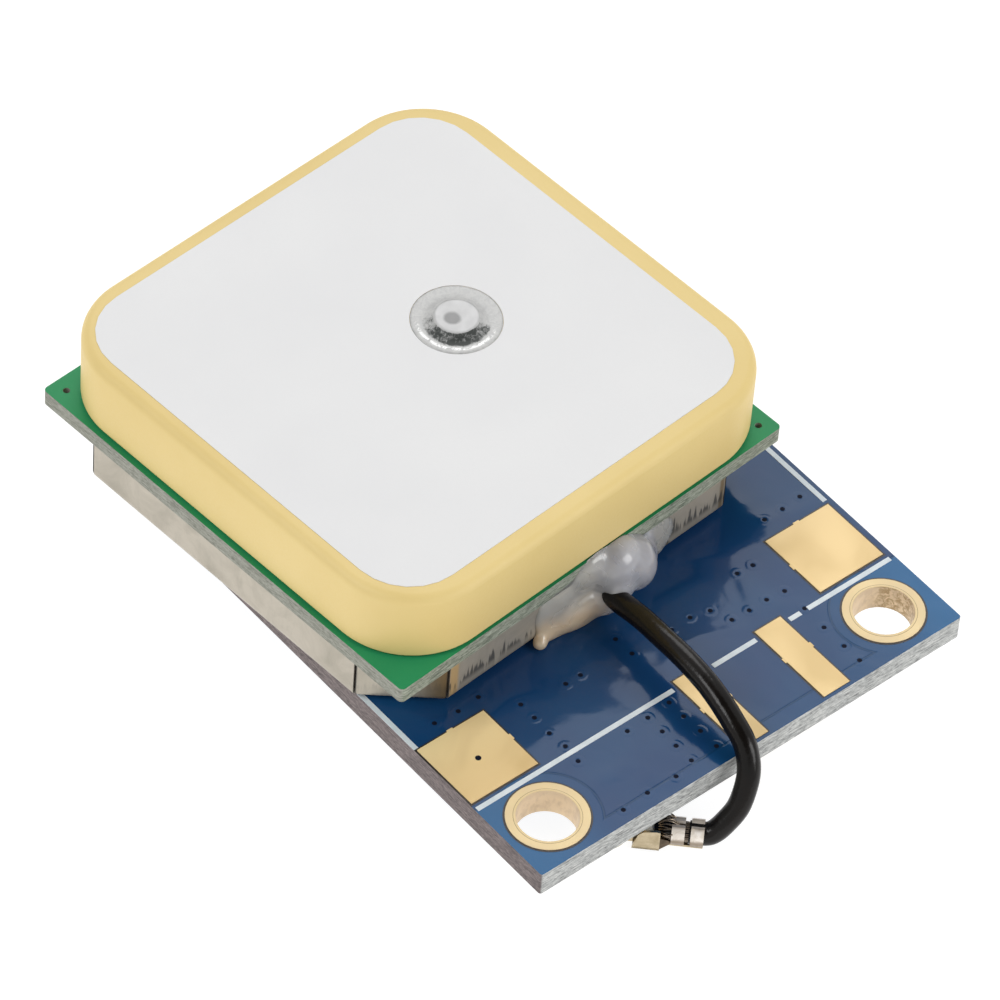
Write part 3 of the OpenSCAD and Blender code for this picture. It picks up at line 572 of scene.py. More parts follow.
@dataclass(frozen=True)
class CrimpFinish(Finish):
    """Rolled strip of a crimp, bright on its flank, with dark painted shade where it curls in and at its bent
    foot.
    """

    bright: Colour
    dull: Colour
    painted_shade_brown: Colour
    foot: float = -0.00308
    foot_fade: float = 2.5e-4
    crest: float = -0.00238
    crest_fade: float = 1.0e-4
    ragged: float = 2.0e-4

    def paint(self, s: Shader) -> None:
        """Paints the wear on the flank and the painted shade at the bends.

        Args:
            s: Shader of the crimps.
        """
        wear = s.noise(1700.0, 5.0, 0.65, 0.7)
        level = s.plus(s.axes()[2], s.times(s.minus(wear, 0.5), self.ragged))
        tone = s.mix(s.span(wear, 0.35, 0.68), self.dull, self.bright)
        # Painted shade: darkens the bent foot.
        tone = s.mix(s.span(level, self.foot, self.foot + self.foot_fade, 0.85, 0.0), tone, self.painted_shade_brown)
        # Painted shade: darkens the top where the strip curls in.
        curl_shade = s.span(level, self.crest - self.crest_fade, self.crest + self.crest_fade, 0.0, 0.9)
        s.put(Metallic=0.3)
        s.dress(s.mix(curl_shade, tone, self.painted_shade_brown), s.span(wear, 0.3, 0.7, 0.45, 0.28), wear, 2.0e-5)


@dataclass(frozen=True)
class CanFinish(Finish):
    """Tinned sheet, dull with handling marks, with dark streaks that rise from the lower edge of the walls."""

    bright: Colour
    dull: Colour
    streak: Colour
    brass: Colour
    low: float = 0.0002
    high: float = 0.003
    front: Spot = (0.012, 0.016)
    fold: float = -0.00955
    corner: Spot = (2.0e-3, 4.0e-4)
    end: float = 0.0081
    seam: float = 0.00915

    def paint(self, s: Shader) -> None:
        """Paints the sheet, the bared metal at the front folds, painted shade across the front cut corners, the
        streaks and the seams.

        Args:
            s: Shader of the can.
        """
        x, y, z = s.axes()
        along_x, along_y, _ = s.facing()
        wall = s.minus(1.0, s.span(along_x, 0.3, 0.8))
        ahead = s.span(y, *self.front, 1.0, 0.0)
        front = s.times(wall, ahead)
        patches = s.noise(420.0, 5.0, 0.62, 0.6)
        smears = s.noise(1.0, 4.0, 0.6, 0.4, vector=s.spread((2200.0, 2200.0, 500.0)))
        tone = s.ramp(patches, ((0.3, self.dull), (0.62, self.bright)))
        tone = s.mix(s.span(smears, 0.5, 0.75, 0.0, 0.4), tone, self.dull)
        cut = s.times(s.span(along_x, 0.4, 0.6), s.span(along_y, 0.4, 0.6))
        # Painted shade: dim brass darkens the front cut corners, fading out to the left of the fold.
        bent = s.times(s.span(x, *(self.fold - way for way in self.corner), 0.0, 0.95), ahead)
        tone = s.mix(s.times(bent, cut), tone, dim(self.brass, 0.3))
        fold = s.span(s.off(x, self.fold), 1.5e-4, 4.0e-4, 0.9, 0.0)
        tone = s.mix(s.times(fold, front), tone, self.brass)
        end = s.span(s.off(x, self.end), 0.6e-4, 2.2e-4, 0.8, 0.0)
        tone = s.mix(s.times(end, front), tone, dim(self.brass, 0.3))
        tone = s.mix(self.streaks(s, z, wall), tone, self.streak)
        tone = s.mix(self.seams(s), tone, dim(self.streak, 0.4))
        s.put(Metallic=0.4)
        height = s.plus(s.times(smears, 0.4), patches)
        s.dress(tone, s.span(patches, 0.25, 0.75, 0.5, 0.34), height, 1.2e-5)

    def streaks(self, s: Shader, z: Socket, wall: Socket) -> Socket:
        """Finds the streaks on the front and rear walls.

        Args:
            s: Shader of the can.
            z: Height in the row frame.
            wall: Share of those walls.

        Returns:
            The share of the dark streaks.
        """
        strokes = s.noise(1.0, 2.0, 0.6, vector=s.spread((4200.0, 4200.0, 60.0)))
        height = s.span(z, self.low, self.high)
        reach = s.weigh(strokes, 1.9, s.noise(500.0, 2.0, 0.5), 1.2)
        dark = s.span(s.minus(reach, height), 1.22, 1.4)
        return s.times(s.times(dark, wall), s.span(height, 0.1, 0.3, 0.25, 0.8))

    def seams(self, s: Shader) -> Socket:
        """Finds the seams where the cut corners meet the walls.

        Args:
            s: Shader of the can.

        Returns:
            The share of the dark line along each seam.
        """
        middle = Vector([MM * way for way in ANTENNA_AT])
        turned = Matrix.Rotation(-math.radians(ANTENNA_TURN), 2) @ middle
        x, y, _ = s.axes(s.spread(turn=-ANTENNA_TURN, place=(-turned.x, -turned.y)))
        off = [s.off(s.math(Op.SIZE, way), self.seam) for way in (x, y)]
        return s.span(s.math(Op.LEAST, *off), 0.4e-4, 1.0e-4, 0.9, 0.0)


@dataclass(frozen=True)
class PlasticFinish(Finish):
    """Moulded, sintered or painted surface with a fine grain and a slow drift of tone."""

    light: Colour
    dark: Colour
    gloss: Spot = (0.4, 0.5)
    drift: float = 250.0
    grain: float = 8000.0
    relief: float = 3.0e-6
    shine: float = 0.5

    def paint(self, s: Shader) -> None:
        """Paints the drift and the grain.

        Args:
            s: Shader of the surface.
        """
        slow = s.noise(self.drift, 3.0, 0.5)
        fine = s.noise(self.grain, 4.0, 0.65)
        tone = s.ramp(slow, ((0.3, self.dark), (0.7, self.light)))
        tone = s.mix(s.span(fine, 0.45, 0.8, 0.0, 0.3), tone, self.dark)
        s.put(Specular_IOR_Level=self.shine)
        s.dress(tone, s.span(fine, 0.3, 0.7, *self.gloss), fine, self.relief, 0.7)


@dataclass(frozen=True)
class CircuitFinish(Finish):
    """Circuit board: solder mask on both faces, cut glass fibre on the sides."""

    mask: Colour
    copper: Colour
    fibre_pale: Colour
    fibre_light: Colour
    fibre_dark: Colour
    flank_light: Colour
    flank_dark: Colour
    gloss: float
    wave: float
    shine: float = 0.5

    def cover(self, s: Shader) -> tuple[Socket, Socket]:
        """Colours and ripples the solder mask.

        Args:
            s: Shader of the board.

        Returns:
            The mask's colour and its height.
        """
        return self.drift(s, self.copper), self.ripple(s)

    def drift(self, s: Shader, tone: Socket | Colour) -> Socket:
        """Lets the mask's own colour through in slow clouds."""
        return s.mix(s.span(s.noise(180.0, 3.0, 0.5), 0.3, 0.7, 0.0, 0.35), tone, dim(self.mask, 0.7))

    def ripple(self, s: Shader) -> Socket:
        """Gives the slow waves and the fine weave of the mask."""
        waves = s.plus(s.noise(210.0, 1.0, 0.4, 1.2), s.times(s.noise(700.0, 1.0, 0.4, 0.6), 0.12))
        return s.plus(waves, s.times(s.noise(5200.0, 2.0, 0.5), 0.003))

    def paint(self, s: Shader) -> None:
        """Paints the faces and the cut sides.

        Args:
            s: Shader of the board.
        """
        mask, ripple = self.cover(s)
        streaks = s.noise(1.0, 5.0, 0.65, 0.5, vector=s.spread((1100.0, 1100.0, 11000.0)))
        flecks = s.noise(1.0, 3.0, 0.6, vector=s.spread((4600.0, 4600.0, 12000.0)))
        threads = s.weigh(streaks, 0.6, flecks, 0.4)
        front = s.ramp(threads, ((0.38, self.fibre_dark), (0.5, self.fibre_light), (0.62, self.fibre_pale)))
        flank = s.ramp(threads, ((0.38, self.flank_dark), (0.6, self.flank_light)))
        along_x, _, along_z = s.facing()
        sides = s.mix(s.span(along_x, 0.4, 0.8), front, flank)
        on_face = s.span(along_z, 0.4, 0.6)
        cut = s.times(s.times(threads, 0.5), s.minus(1.0, on_face))
        s.put(Specular_IOR_Level=self.shine)
        s.dress(s.mix(on_face, sides, mask), s.span(along_z, 0.4, 0.6, 0.75, self.gloss),
                s.plus(s.times(ripple, on_face), cut), self.wave)


@dataclass(frozen=True)
class MainBoardFinish(CircuitFinish):
    """Blue circuit board whose ground copper stops short of the front corners and the front edge."""

    ring_x: float = 0.0104
    ring_clear: float = 0.00262
    front_line: float = -0.00165
    zone: float = 0.0023
    fade: Spot = (-0.0026, 0.0022)
    sharp: float = 3.0e-5
    line: float = 8.0e-5

    def cover(self, s: Shader) -> tuple[Socket, Socket]:
        """Colours the mask over copper and bare board, and sinks the line between them.

        Args:
            s: Shader of the board.

        Returns:
            The mask's colour and its height.
        """
        copper, border = self.copper_line(s)
        tone = self.drift(s, s.mix(copper, self.mask, self.copper))
        tone = s.mix(s.times(border, 0.55), tone, dim(self.mask, 0.3))
        return tone, s.minus(self.ripple(s), s.times(border, 0.05))

    def copper_line(self, s: Shader) -> tuple[Socket, Socket]:
        """Finds where the ground copper lies.

        Args:
            s: Shader of the board.

        Returns:
            The share of copper, and the share of the dark line at its border.
        """
        x, y, _ = s.axes()
        wide = s.math(Op.SIZE, x)
        off_ring = s.minus(s.length(s.minus(wide, self.ring_x), y), self.ring_clear)
        off_front = s.minus(y, self.front_line)
        off_side = s.minus(self.ring_x, wide)
        inside = s.math(Op.LEAST, s.math(Op.LEAST, off_ring, off_front), off_side)
        behind = s.math(Op.LEAST, s.minus(y, self.zone), off_ring)
        inside = s.math(Op.MOST, inside, behind)
        share = s.span(inside, -self.sharp, self.sharp)
        middle = s.span(wide, *(self.ring_x + way for way in self.fade), 0.9, 0.0)
        border = s.span(s.math(Op.SIZE, inside), self.sharp, self.line, 0.8, 0.0)
        return s.math(Op.MOST, share, middle), border


@dataclass(frozen=True)
class GlueFinish(Finish):
    """Milky, half-clear silicone with a wet gloss."""

    milk: Colour
    amber: Colour
    film: Colour
    swirl: Colour
    drift: float = 0.001

    def paint(self, s: Shader) -> None:
        """Paints the thin film, the amber foot and the milky dome with its swirls.

        Args:
            s: Shader of the glue.
        """
        cloud = s.noise(700.0, 3.0, 0.5, 0.8)
        drift = s.times(cloud, self.drift)
        x, _, z = s.axes()
        sheet = s.mix(s.span(s.plus(z, drift), 0.0012, 0.0026), self.amber, self.film)
        tone = s.mix(s.span(s.plus(x, drift), -0.0012, 0.0008), sheet, self.milk)
        folds = s.noise(330.0, 1.0, 0.4, 1.2)
        swirl = s.times(s.span(folds, 0.5, 0.66, 0.0, 0.45), s.span(x, -0.0002, 0.0011))
        tone = s.mix(swirl, tone, self.swirl)
        s.put(Transmission_Weight=0.35, IOR=1.41, Coat_Weight=0.8, Coat_Roughness=0.12)
        s.put(Subsurface_Weight=0.5, Subsurface_Scale=0.0006, Subsurface_Radius=(1.0, 0.9, 0.8))
        s.dress(s.mix(s.span(x, 0.0029, 0.0036), tone, self.film), s.span(cloud, 0.3, 0.8, 0.2, 0.34),
                s.times(folds, s.span(x, -0.0005, 0.001, 0.3, 1.0)), 3.2e-4, 0.5)


class Look(Enum):
    """Every finish of the module."""

    BLUE_BOARD = MainBoardFinish(
        "blue board", mask=(0.008, 0.108, 0.27), copper=(0.0085, 0.043, 0.135), fibre_pale=(0.66, 0.66, 0.64),
        fibre_light=(0.44, 0.45, 0.44), fibre_dark=(0.19, 0.19, 0.19), flank_light=(0.27, 0.225, 0.22),
        flank_dark=(0.10, 0.085, 0.085), gloss=0.1, wave=3.0e-4, shine=0.2)
    GREEN_BOARD = CircuitFinish(
        "green board", mask=(0.025, 0.29, 0.115), copper=(0.025, 0.29, 0.115), fibre_pale=(0.44, 0.47, 0.39),
        fibre_light=(0.265, 0.29, 0.235), fibre_dark=(0.12, 0.14, 0.11), flank_light=(0.37, 0.375, 0.325),
        flank_dark=(0.18, 0.185, 0.155), gloss=0.36, wave=1.2e-5, shine=0.14)
    BLACK_BOARD = CircuitFinish(
        "receiver board", mask=(0.012, 0.03, 0.02), copper=(0.012, 0.03, 0.02), fibre_pale=(0.36, 0.33, 0.25),
        fibre_light=(0.26, 0.24, 0.17), fibre_dark=(0.12, 0.11, 0.08), flank_light=(0.30, 0.28, 0.20),
        flank_dark=(0.12, 0.11, 0.08), gloss=0.3, wave=1.0e-5)
    GOLD = MetalFinish("gold plating", (0.86, 0.635, 0.335), (0.74, 0.53, 0.255), (0.36, 0.5), blotch=240.0,
                       grain=6000.0, relief=1.2e-6, metal=0.15)
    # Painted light: the left colour is paler than the right one; the dull colour is painted shade on the front of
    # the left pad.
    PAD = PadFinish("gold pad", (0.985, 0.765, 0.41), (0.735, 0.54, 0.255), (0.60, 0.42, 0.18))
    # Painted shade: the scoring colour also darkens the top of each bore. Painted reflection: the darkest gold
    # makes dark glints on the right of the right hole's bore.
    HOLE = PlatedHoleFinish("plated hole", ring=(0.705, 0.55, 0.293), bore=(0.76, 0.60, 0.40),
                            score_and_shade=(0.62, 0.48, 0.32), painted_dark=(0.40, 0.275, 0.13))
    TIN_CAN = CanFinish("tinned can", (0.51, 0.46, 0.38), (0.385, 0.35, 0.285), streak=(0.05, 0.05, 0.05),
                        brass=(0.68, 0.46, 0.21))
    STEEL = MetalFinish("drawn lid", (0.70, 0.70, 0.69), (0.52, 0.52, 0.52), (0.24, 0.4), blotch=300.0, grain=1.0,
                        lay=(900.0, 9000.0, 900.0))
    TIN = MetalFinish("tinned lead", (0.74, 0.74, 0.73), (0.55, 0.55, 0.54), (0.22, 0.4), blotch=1500.0)
    SOLDER = MetalFinish("solder", (0.56, 0.56, 0.55), (0.40, 0.40, 0.39), (0.1, 0.24), blotch=1500.0,
                         grain=3000.0, relief=3.2e-5)
    # Painted shade: the third colour darkens the dimple in the pin's head.
    PIN = PinFinish("pin head", (0.57, 0.57, 0.57), (0.52, 0.52, 0.52), pit_shade=(0.27, 0.27, 0.27), middle=PIT_SPOT)
    # Painted reflection: the dark colour is a dark patch on the front left slope; the glint colour is a painted
    # highlight on the lip.
    COLLAR = CollarFinish("feed collar", (0.53, 0.53, 0.52), (0.45, 0.45, 0.445), dark=(0.035, 0.04, 0.037),
                          glint=(0.98, 0.98, 0.97), middle=FEED_SPOT, dark_reflection_side=(-0.68, -0.73))
    PLUG = MetalFinish("plug sheet", (0.60, 0.50, 0.34), (0.42, 0.34, 0.21), (0.26, 0.4), blotch=1600.0,
                       relief=5.0e-6)
    # Painted shade: the third colour darkens each crimp's bent foot and its curled top.
    CRIMP = CrimpFinish("worn crimp", (0.97, 0.91, 0.84), (0.74, 0.66, 0.56), painted_shade_brown=(0.22, 0.15, 0.085))
    # Painted shade: a dark copy of the plug's sheet metal for the webs between the neck and the first crimp.
    SHADED_WEB = MetalFinish("bent web", (0.13, 0.088, 0.05), (0.06, 0.04, 0.02), (0.3, 0.45), blotch=1600.0,
                      relief=5.0e-6)
    WIRE = MetalFinish("braid wire", (0.34, 0.28, 0.22), (0.09, 0.07, 0.05), blotch=2500.0)
    CERAMIC = PlasticFinish("fired ceramic", (0.775, 0.60, 0.255), (0.73, 0.555, 0.22), (0.42, 0.55), drift=160.0,
                            grain=9000.0, relief=4.0e-6, shine=0.4)
    SILVER = PlasticFinish("silver paste", (0.755, 0.755, 0.755), (0.725, 0.725, 0.73), (0.45, 0.6), drift=120.0,
                           grain=7000.0, shine=0.35)
    JACKET = PlasticFinish("lead jacket", (0.008, 0.006, 0.005), (0.004, 0.0035, 0.003), (0.14, 0.24), drift=700.0,
                           grain=1500.0, relief=3.2e-5, shine=0.24)
    CORE = PlasticFinish("lead core", (0.80, 0.78, 0.70), (0.70, 0.66, 0.56))
    MOULDING = PlasticFinish("pale moulding", (0.80, 0.76, 0.64), (0.70, 0.66, 0.54), (0.45, 0.6))
    CHIP = PlasticFinish("chip body", (0.030, 0.030, 0.032), (0.018, 0.018, 0.019), (0.5, 0.65), drift=900.0,
                         grain=12000.0, relief=5.0e-6)
    CAPACITOR = PlasticFinish("chip ceramic", (0.50, 0.36, 0.24), (0.40, 0.27, 0.17), drift=900.0)
    TAPE = PlasticFinish("foam tape", (0.72, 0.71, 0.67), (0.60, 0.59, 0.55), (0.7, 0.85), drift=900.0,
                         grain=9000.0, relief=1.0e-5)
    LAMP = PlasticFinish("lamp lens", (0.78, 0.80, 0.70), (0.70, 0.70, 0.58), (0.15, 0.25), drift=900.0)
    PRINT_INK = PlasticFinish("white print", (0.72, 0.78, 0.82), (0.60, 0.67, 0.72), (0.45, 0.6), drift=1500.0,
                              grain=9000.0, relief=5.0e-6)
    TRACK = PlasticFinish("covered track", (0.012, 0.075, 0.21), (0.009, 0.055, 0.16), (0.14, 0.22), drift=900.0,
                          grain=5000.0, relief=2.0e-6)
    # Painted shade: near-black stands for the hole in the middle of each via.
    VIA_HOLE_SHADE = PlasticFinish("via hole", (0.002, 0.006, 0.022), (0.001, 0.003, 0.012), (0.6, 0.75), drift=2500.0,
                             shine=0.15)
    # Painted shade: near-black strip in the groove round each pad and ring.
    GAP_SHADE = PlasticFinish("mask gap", (0.030, 0.022, 0.020), (0.018, 0.015, 0.018), (0.35, 0.5), drift=2500.0)
    RIM_LINE = PlasticFinish("rim line", (0.34, 0.24, 0.12), (0.27, 0.185, 0.09), drift=2500.0)
    GLUE = GlueFinish("silicone", milk=(0.52, 0.52, 0.56), amber=(0.90, 0.71, 0.50), film=(0.60, 0.58, 0.53),
                      swirl=(0.80, 0.80, 0.82))


class Workshop:
    """Builds the materials, and turns bmesh shapes in millimetres into pieces of the module."""

    def __init__(self) -> None:
        """Builds each finish once."""
        self.materials: dict[Look, Material] = {look: look.value.make() for look in Look}
        self.made: list[Object] = []

    def finish_mesh(self, name: str, bm: BMesh, place: Matrix, looks: Sequence[Look], slot: Slot,
                    sharp: float = 35.0) -> Object:
        """Sets a shape into the row frame and makes it a piece.

        Args:
            name: Name of the piece.
            bm: Shape in millimetres, which is freed.
            place: Place of the shape in the row frame, in millimetres.
            looks: Finishes by material index.
            slot: Material slot of the record; not used.
            sharp: Angle in degrees above which an edge stays sharp.

        Returns:
            The piece.
        """
        bmesh.ops.transform(bm, matrix=Matrix.Scale(MM, 4) @ place, verts=bm.verts)
        if place.determinant() < 0:
            bmesh.ops.reverse_faces(bm, faces=bm.faces)
        mesh = bpy.data.meshes.new(name)
        bm.to_mesh(mesh)
        bm.free()
        for look in looks:
            mesh.materials.append(self.materials[look])
        mesh.polygons.foreach_set("use_smooth", [True] * len(mesh.polygons))
        mesh.set_sharp_from_angle(angle=math.radians(sharp))
        piece = bpy.data.objects.new(name, mesh)
        bpy.context.scene.collection.objects.link(piece)
        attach(piece, BODY)
        self.made.append(piece)
        LOG.info("%s: %d faces", name, len(mesh.polygons))
        return piece


def faces_of(verts: Iterable[BMVert]) -> list[BMFace]:
    """Gives the faces that meet any of some vertices."""
    return list({face for vert in verts for face in vert.link_faces})


def grown_verts(grown: dict[str, list]) -> list[BMVert]:
    """Gives the vertices that an extrusion made."""
    return [part for part in grown["geom"] if isinstance(part, BMVert)]


def plate(bm: BMesh, centre: Point, size: Point) -> list[BMVert]:
    """Adds a block that stands on its base.

    Args:
        bm: Shape to add to.
        centre: Middle of the base.
        size: Size along x, y and z.

    Returns:
        The block's vertices.
    """
    verts = bmesh.ops.create_cube(bm, size=1.0)["verts"]
    bmesh.ops.translate(bm, vec=(0.0, 0.0, 0.5), verts=verts)
    bmesh.ops.scale(bm, vec=size, verts=verts)
    bmesh.ops.translate(bm, vec=centre, verts=verts)
    return verts


def lathe(bm: BMesh, profile: Sequence[Spot], steps: int, at: Spot = (0.0, 0.0)) -> list[BMVert]:
    """Spins a profile about an upright line.

    Args:
        bm: Shape to add to.
        profile: Radius and height of each point.
        steps: Steps of the full turn.
        at: Place of the line.

    Returns:
        The new vertices.
    """
    before = set(bm.verts)
    line = [bm.verts.new((r, 0.0, z)) for r, z in profile]
    edges = [bm.edges.new(pair) for pair in zip(line, line[1:])]
    bmesh.ops.spin(bm, geom=line + edges, cent=(0.0, 0.0, 0.0), axis=(0.0, 0.0, 1.0), dvec=(0.0, 0.0, 0.0),
                   angle=math.tau, steps=steps, use_merge=True)
    bmesh.ops.remove_doubles(bm, verts=[v for v in bm.verts if v not in before], dist=1e-4)
    verts = [v for v in bm.verts if v not in before]
    bmesh.ops.recalc_face_normals(bm, faces=faces_of(verts))
    bmesh.ops.translate(bm, vec=(*at, 0.0), verts=verts)
    return verts


def via_caps(bm: BMesh, places: Iterable[Spot], profile: Profile) -> None:
    """Raises the mask round each via, and gives the low faces the second finish: near-black painted shade, seen in
    the middle of each via, that stands for its hole.

    Args:
        bm: Shape to add to, which holds nothing else yet.
        places: Places of the vias.
        profile: Radius and height of each point of a cap.
    """
    hole_level = 0.004
    for place in places:
        lathe(bm, profile, 16, place)
    # Painted shade: the low faces take the near-black finish for the hole.
    for face in bm.faces:
        face.material_index = int(max(v.co.z for v in face.verts) < hole_level)


def round_edges(bm: BMesh, edges: list[BMEdge], offset: float, segments: int) -> None:
    """Bevels edges into an even round."""
    bmesh.ops.bevel(bm, geom=edges, offset=offset, offset_type="OFFSET", segments=segments, profile=0.5,
                    affect="EDGES", material=-1, clamp_overlap=False)


def cut_off(bm: BMesh, parts: list[BMVert | BMEdge | BMFace], point: Point, outward: Point) -> None:
    """Cuts off one side of a shape and caps the cut.

    Args:
        bm: Shape to cut.
        parts: Vertices, edges and faces that are cut.
        point: Point on the plane of the cut.
        outward: Direction of the side that is cut off.
    """
    cut = bmesh.ops.bisect_plane(bm, geom=parts, plane_co=point, plane_no=outward, clear_outer=True)
    rim = [part for part in cut["geom_cut"] if isinstance(part, BMEdge)]
    bmesh.ops.holes_fill(bm, edges=rim, sides=0)


def smooth_route(points: Sequence[Point], steps: int) -> list[Vector]:
    """Adds points on the smooth curve through a route, as the lead's solid has them.

    Args:
        points: Route.
        steps: Points for each stretch.

    Returns:
        The finer route.
    """
    way = [Vector(p) for p in points]
    last = len(way) - 1
    out: list[Vector] = []
    for i in range(last):
        p0, p1, p2, p3 = way[max(i - 1, 0)], way[i], way[i + 1], way[min(i + 2, last)]
        for k in range(steps):
            t = k / steps
            out.append(0.5 * (2 * p1 + (p2 - p0) * t + (2 * p0 - 5 * p1 + 4 * p2 - p3) * t * t
                              + (3 * p1 - p0 - 3 * p2 + p3) * t * t * t))
    out.append(way[last])
    return out


def tube(bm: BMesh, route: Sequence[Vector], radius: float, sides: int) -> None:
    """Adds a closed round tube along a route by extruding a circle from point to point.

    Args:
        bm: Shape to add to.
        route: Points of the middle line.
        radius: Radius of the tube.
        sides: Sides of its section.
    """
    def aim(index: int) -> Vector:
        """Gives the way of the route at one of its points."""
        return (route[min(index + 1, len(route) - 1)] - route[max(index - 1, 0)]).normalized()

    heading = aim(0)
    made = bmesh.ops.create_circle(bm, cap_ends=True, radius=radius, segments=sides)["verts"]
    frame = heading.to_track_quat("Z", "Y").to_matrix().to_4x4()
    bmesh.ops.transform(bm, matrix=Matrix.Translation(route[0]) @ frame, verts=made)
    first = face = made[0].link_faces[0]
    for index in range(1, len(route)):
        new = bmesh.ops.extrude_face_region(bm, geom=[face])
        turned = heading.rotation_difference(aim(index)).to_matrix().to_4x4()
        matrix = Matrix.Translation(route[index]) @ turned @ Matrix.Translation(-route[index - 1])
        bmesh.ops.transform(bm, matrix=matrix, verts=grown_verts(new))
        older = face
        face = next(part for part in new["geom"] if isinstance(part, BMFace))
        if older is not first:
            bmesh.ops.delete(bm, geom=[older], context="FACES_ONLY")
        heading = aim(index)
    bmesh.ops.recalc_face_normals(bm, faces=bm.faces)


@dataclass
class MainBoard:
    """Printed detail of the main board: lines, vias, painted shade round the pads and the like. Sizes in
    millimetres.
    """

    shop: Workshop
    line_width: float = 0.26
    line_height: float = 0.02
    hole_x: float = 10.4
    rear_hole_y: float = 28.8
    ring_radius: float = 2.0
    ring_lap: float = 0.1
    square_pad: float = 4.0
    square_x: float = 10.75
    square_y: float = 4.7
    edge_pad: Spot = (1.6, 5.0)
    edge_x: Spot = (0.3, 5.4)
    edge_y: float = 0.2
    gap: float = 0.1
    gap_height: float = 0.008
    stub_out: float = 0.03
    stub_long: float = 0.12
    stub_wide: Spot = (0.34, 0.3)
    stub_height: float = 0.045
    stub_y: float = 0.3
    round_sides: int = 64
    lip_line: float = 1.605
    lip: Profile = ((1.505, 0.04), (1.505, 0.052), (1.52, 0.058), (1.59, 0.058), (1.61, 0.052), (1.632, 0.052),
                    (1.632, 0.04), (1.505, 0.04))
    lines: tuple[tuple[float, float, float, float], ...] = (
        (-12.75, 2.3, -0.8, 2.3), (1.65, 2.3, 4.35, 2.3), (6.45, 2.3, 7.15, 2.3), (7.6, 2.3, 12.85, 2.3),
        (-12.72, 6.8, -12.72, 30.0), (12.78, 6.95, 12.78, 30.5))
    via_cap: Profile = ((0.0, 0.003), (0.125, 0.003), (0.155, 0.008), (0.21, 0.011), (0.29, 0.008), (0.38, 0.0),
                        (0.38, -0.01), (0.0, -0.01))
    vias: tuple[Spot, ...] = (
        (12.0, 7.9), (10.8, 7.8), (9.65, 7.8), (7.3, 5.95), (6.35, 6.0), (7.45, 3.8), (6.4, 3.9), (5.3, 3.9),
        (4.25, 3.95), (3.8, 5.0), (2.75, 5.25), (1.55, 5.2), (-0.95, 6.35), (-0.9, 5.2), (-3.7, 5.65),
        (-4.6, 5.65), (-7.1, 5.95), (-7.1, 4.95), (-7.15, 3.8), (-7.05, 2.75), (-7.15, 1.7), (-8.4, 7.5),
        (-9.7, 7.4), (-11.05, 7.5), (-1.45, 1.85), (-1.45, 0.8), (-1.4, -0.35), (-1.4, -1.5), (-2.85, 1.75),
        (-4.15, 1.7), (-2.85, 0.7), (-2.9, -0.35), (-2.9, -1.45), (-4.1, -1.75), (-5.8, -1.7), (-7.35, -1.8),
        (7.45, 0.95), (7.45, -0.5), (7.45, -1.6), (7.5, 2.4))
    pad_via_cap: Profile = ((0.0, 0.056), (0.15, 0.056), (0.15, 0.03), (0.0, 0.03))
    pad_via: Spot = (-10.77, 4.62)

    def build(self) -> None:
        """Makes the printed lines, the vias, the painted shade round the pads and the lips of the holes."""
        self.print_lines()
        self.upper_vias()
        self.pad_gap_shades()
        self.pad_stubs()
        self.hole_lips()

    def print_lines(self) -> None:
        """Prints the white lines as thin raised strips."""
        bm = bmesh.new()
        for x0, y0, x1, y1 in self.lines:
            size = (max(abs(x1 - x0), self.line_width), max(abs(y1 - y0), self.line_width), self.line_height)
            plate(bm, ((x0 + x1) / 2, (y0 + y1) / 2, 0.0), size)
        self.shop.finish_mesh("print_lines", bm, Matrix(), [Look.PRINT_INK], Slot.BOARD)

    def upper_vias(self) -> None:
        """Raises the mask round each via, and sets a near-black disc in the left pad as painted shade for its open
        via.
        """
        bm = bmesh.new()
        via_caps(bm, self.vias, self.via_cap)
        # Painted shade: the disc in the left pad is near-black for its open via.
        for face in faces_of(lathe(bm, self.pad_via_cap, 16, self.pad_via)):
            face.material_index = 1
        self.shop.finish_mesh("via_caps", bm, Matrix(), [Look.BLUE_BOARD, Look.VIA_HOLE_SHADE], Slot.BOARD, 60.0)

    def pad_gap_shades(self) -> None:
        """Puts a near-black strip between each pad or ring and the mask, painted shade in the groove there."""
        bm = bmesh.new()
        low = self.gap_height
        side = self.square_pad + 2 * self.gap
        # Painted shade: a thin near-black plate shows round each pad and ring.
        for x in (-self.square_x, self.square_x):
            plate(bm, (x, self.square_y, 0.0), (side, side, low))
        for x in self.edge_x:
            plate(bm, (x, self.edge_y + self.gap / 2, 0.0),
                  (self.edge_pad[0] + 2 * self.gap, self.edge_pad[1] + self.gap, low))
        r0, r1 = self.ring_radius - self.ring_lap, self.ring_radius + self.gap
        for x in (-self.hole_x, self.hole_x):
            lathe(bm, ((r0, 0.0), (r1, 0.0), (r1, low), (r0, low), (r0, 0.0)), self.round_sides, (x, 0.0))
        self.shop.finish_mesh("pad_gap_shades", bm, Matrix(), [Look.GAP_SHADE], Slot.BOARD)

    def pad_stubs(self) -> None:
        """Adds the short copper bridges at the middles of the pads' sides."""
        bm = bmesh.new()
        long, (wide, slim), high = self.stub_long, self.stub_wide, self.stub_height
        reach = self.square_pad / 2 + self.stub_out
        for inward in (1.0, -1.0):
            x = -inward * self.square_x
            plate(bm, (x + inward * reach, self.square_y, 0.0), (long, wide, high))
            plate(bm, (x, self.square_y + reach, 0.0), (wide, long, high))
        reach = self.edge_pad[0] / 2 + self.stub_out
        for x in self.edge_x:
            for side in (-1.0, 1.0):
                plate(bm, (x + side * reach, self.edge_y + self.stub_y, 0.0), (long, slim, high))
        self.shop.finish_mesh("pad_stubs", bm, Matrix(), [Look.PAD], Slot.GOLD)

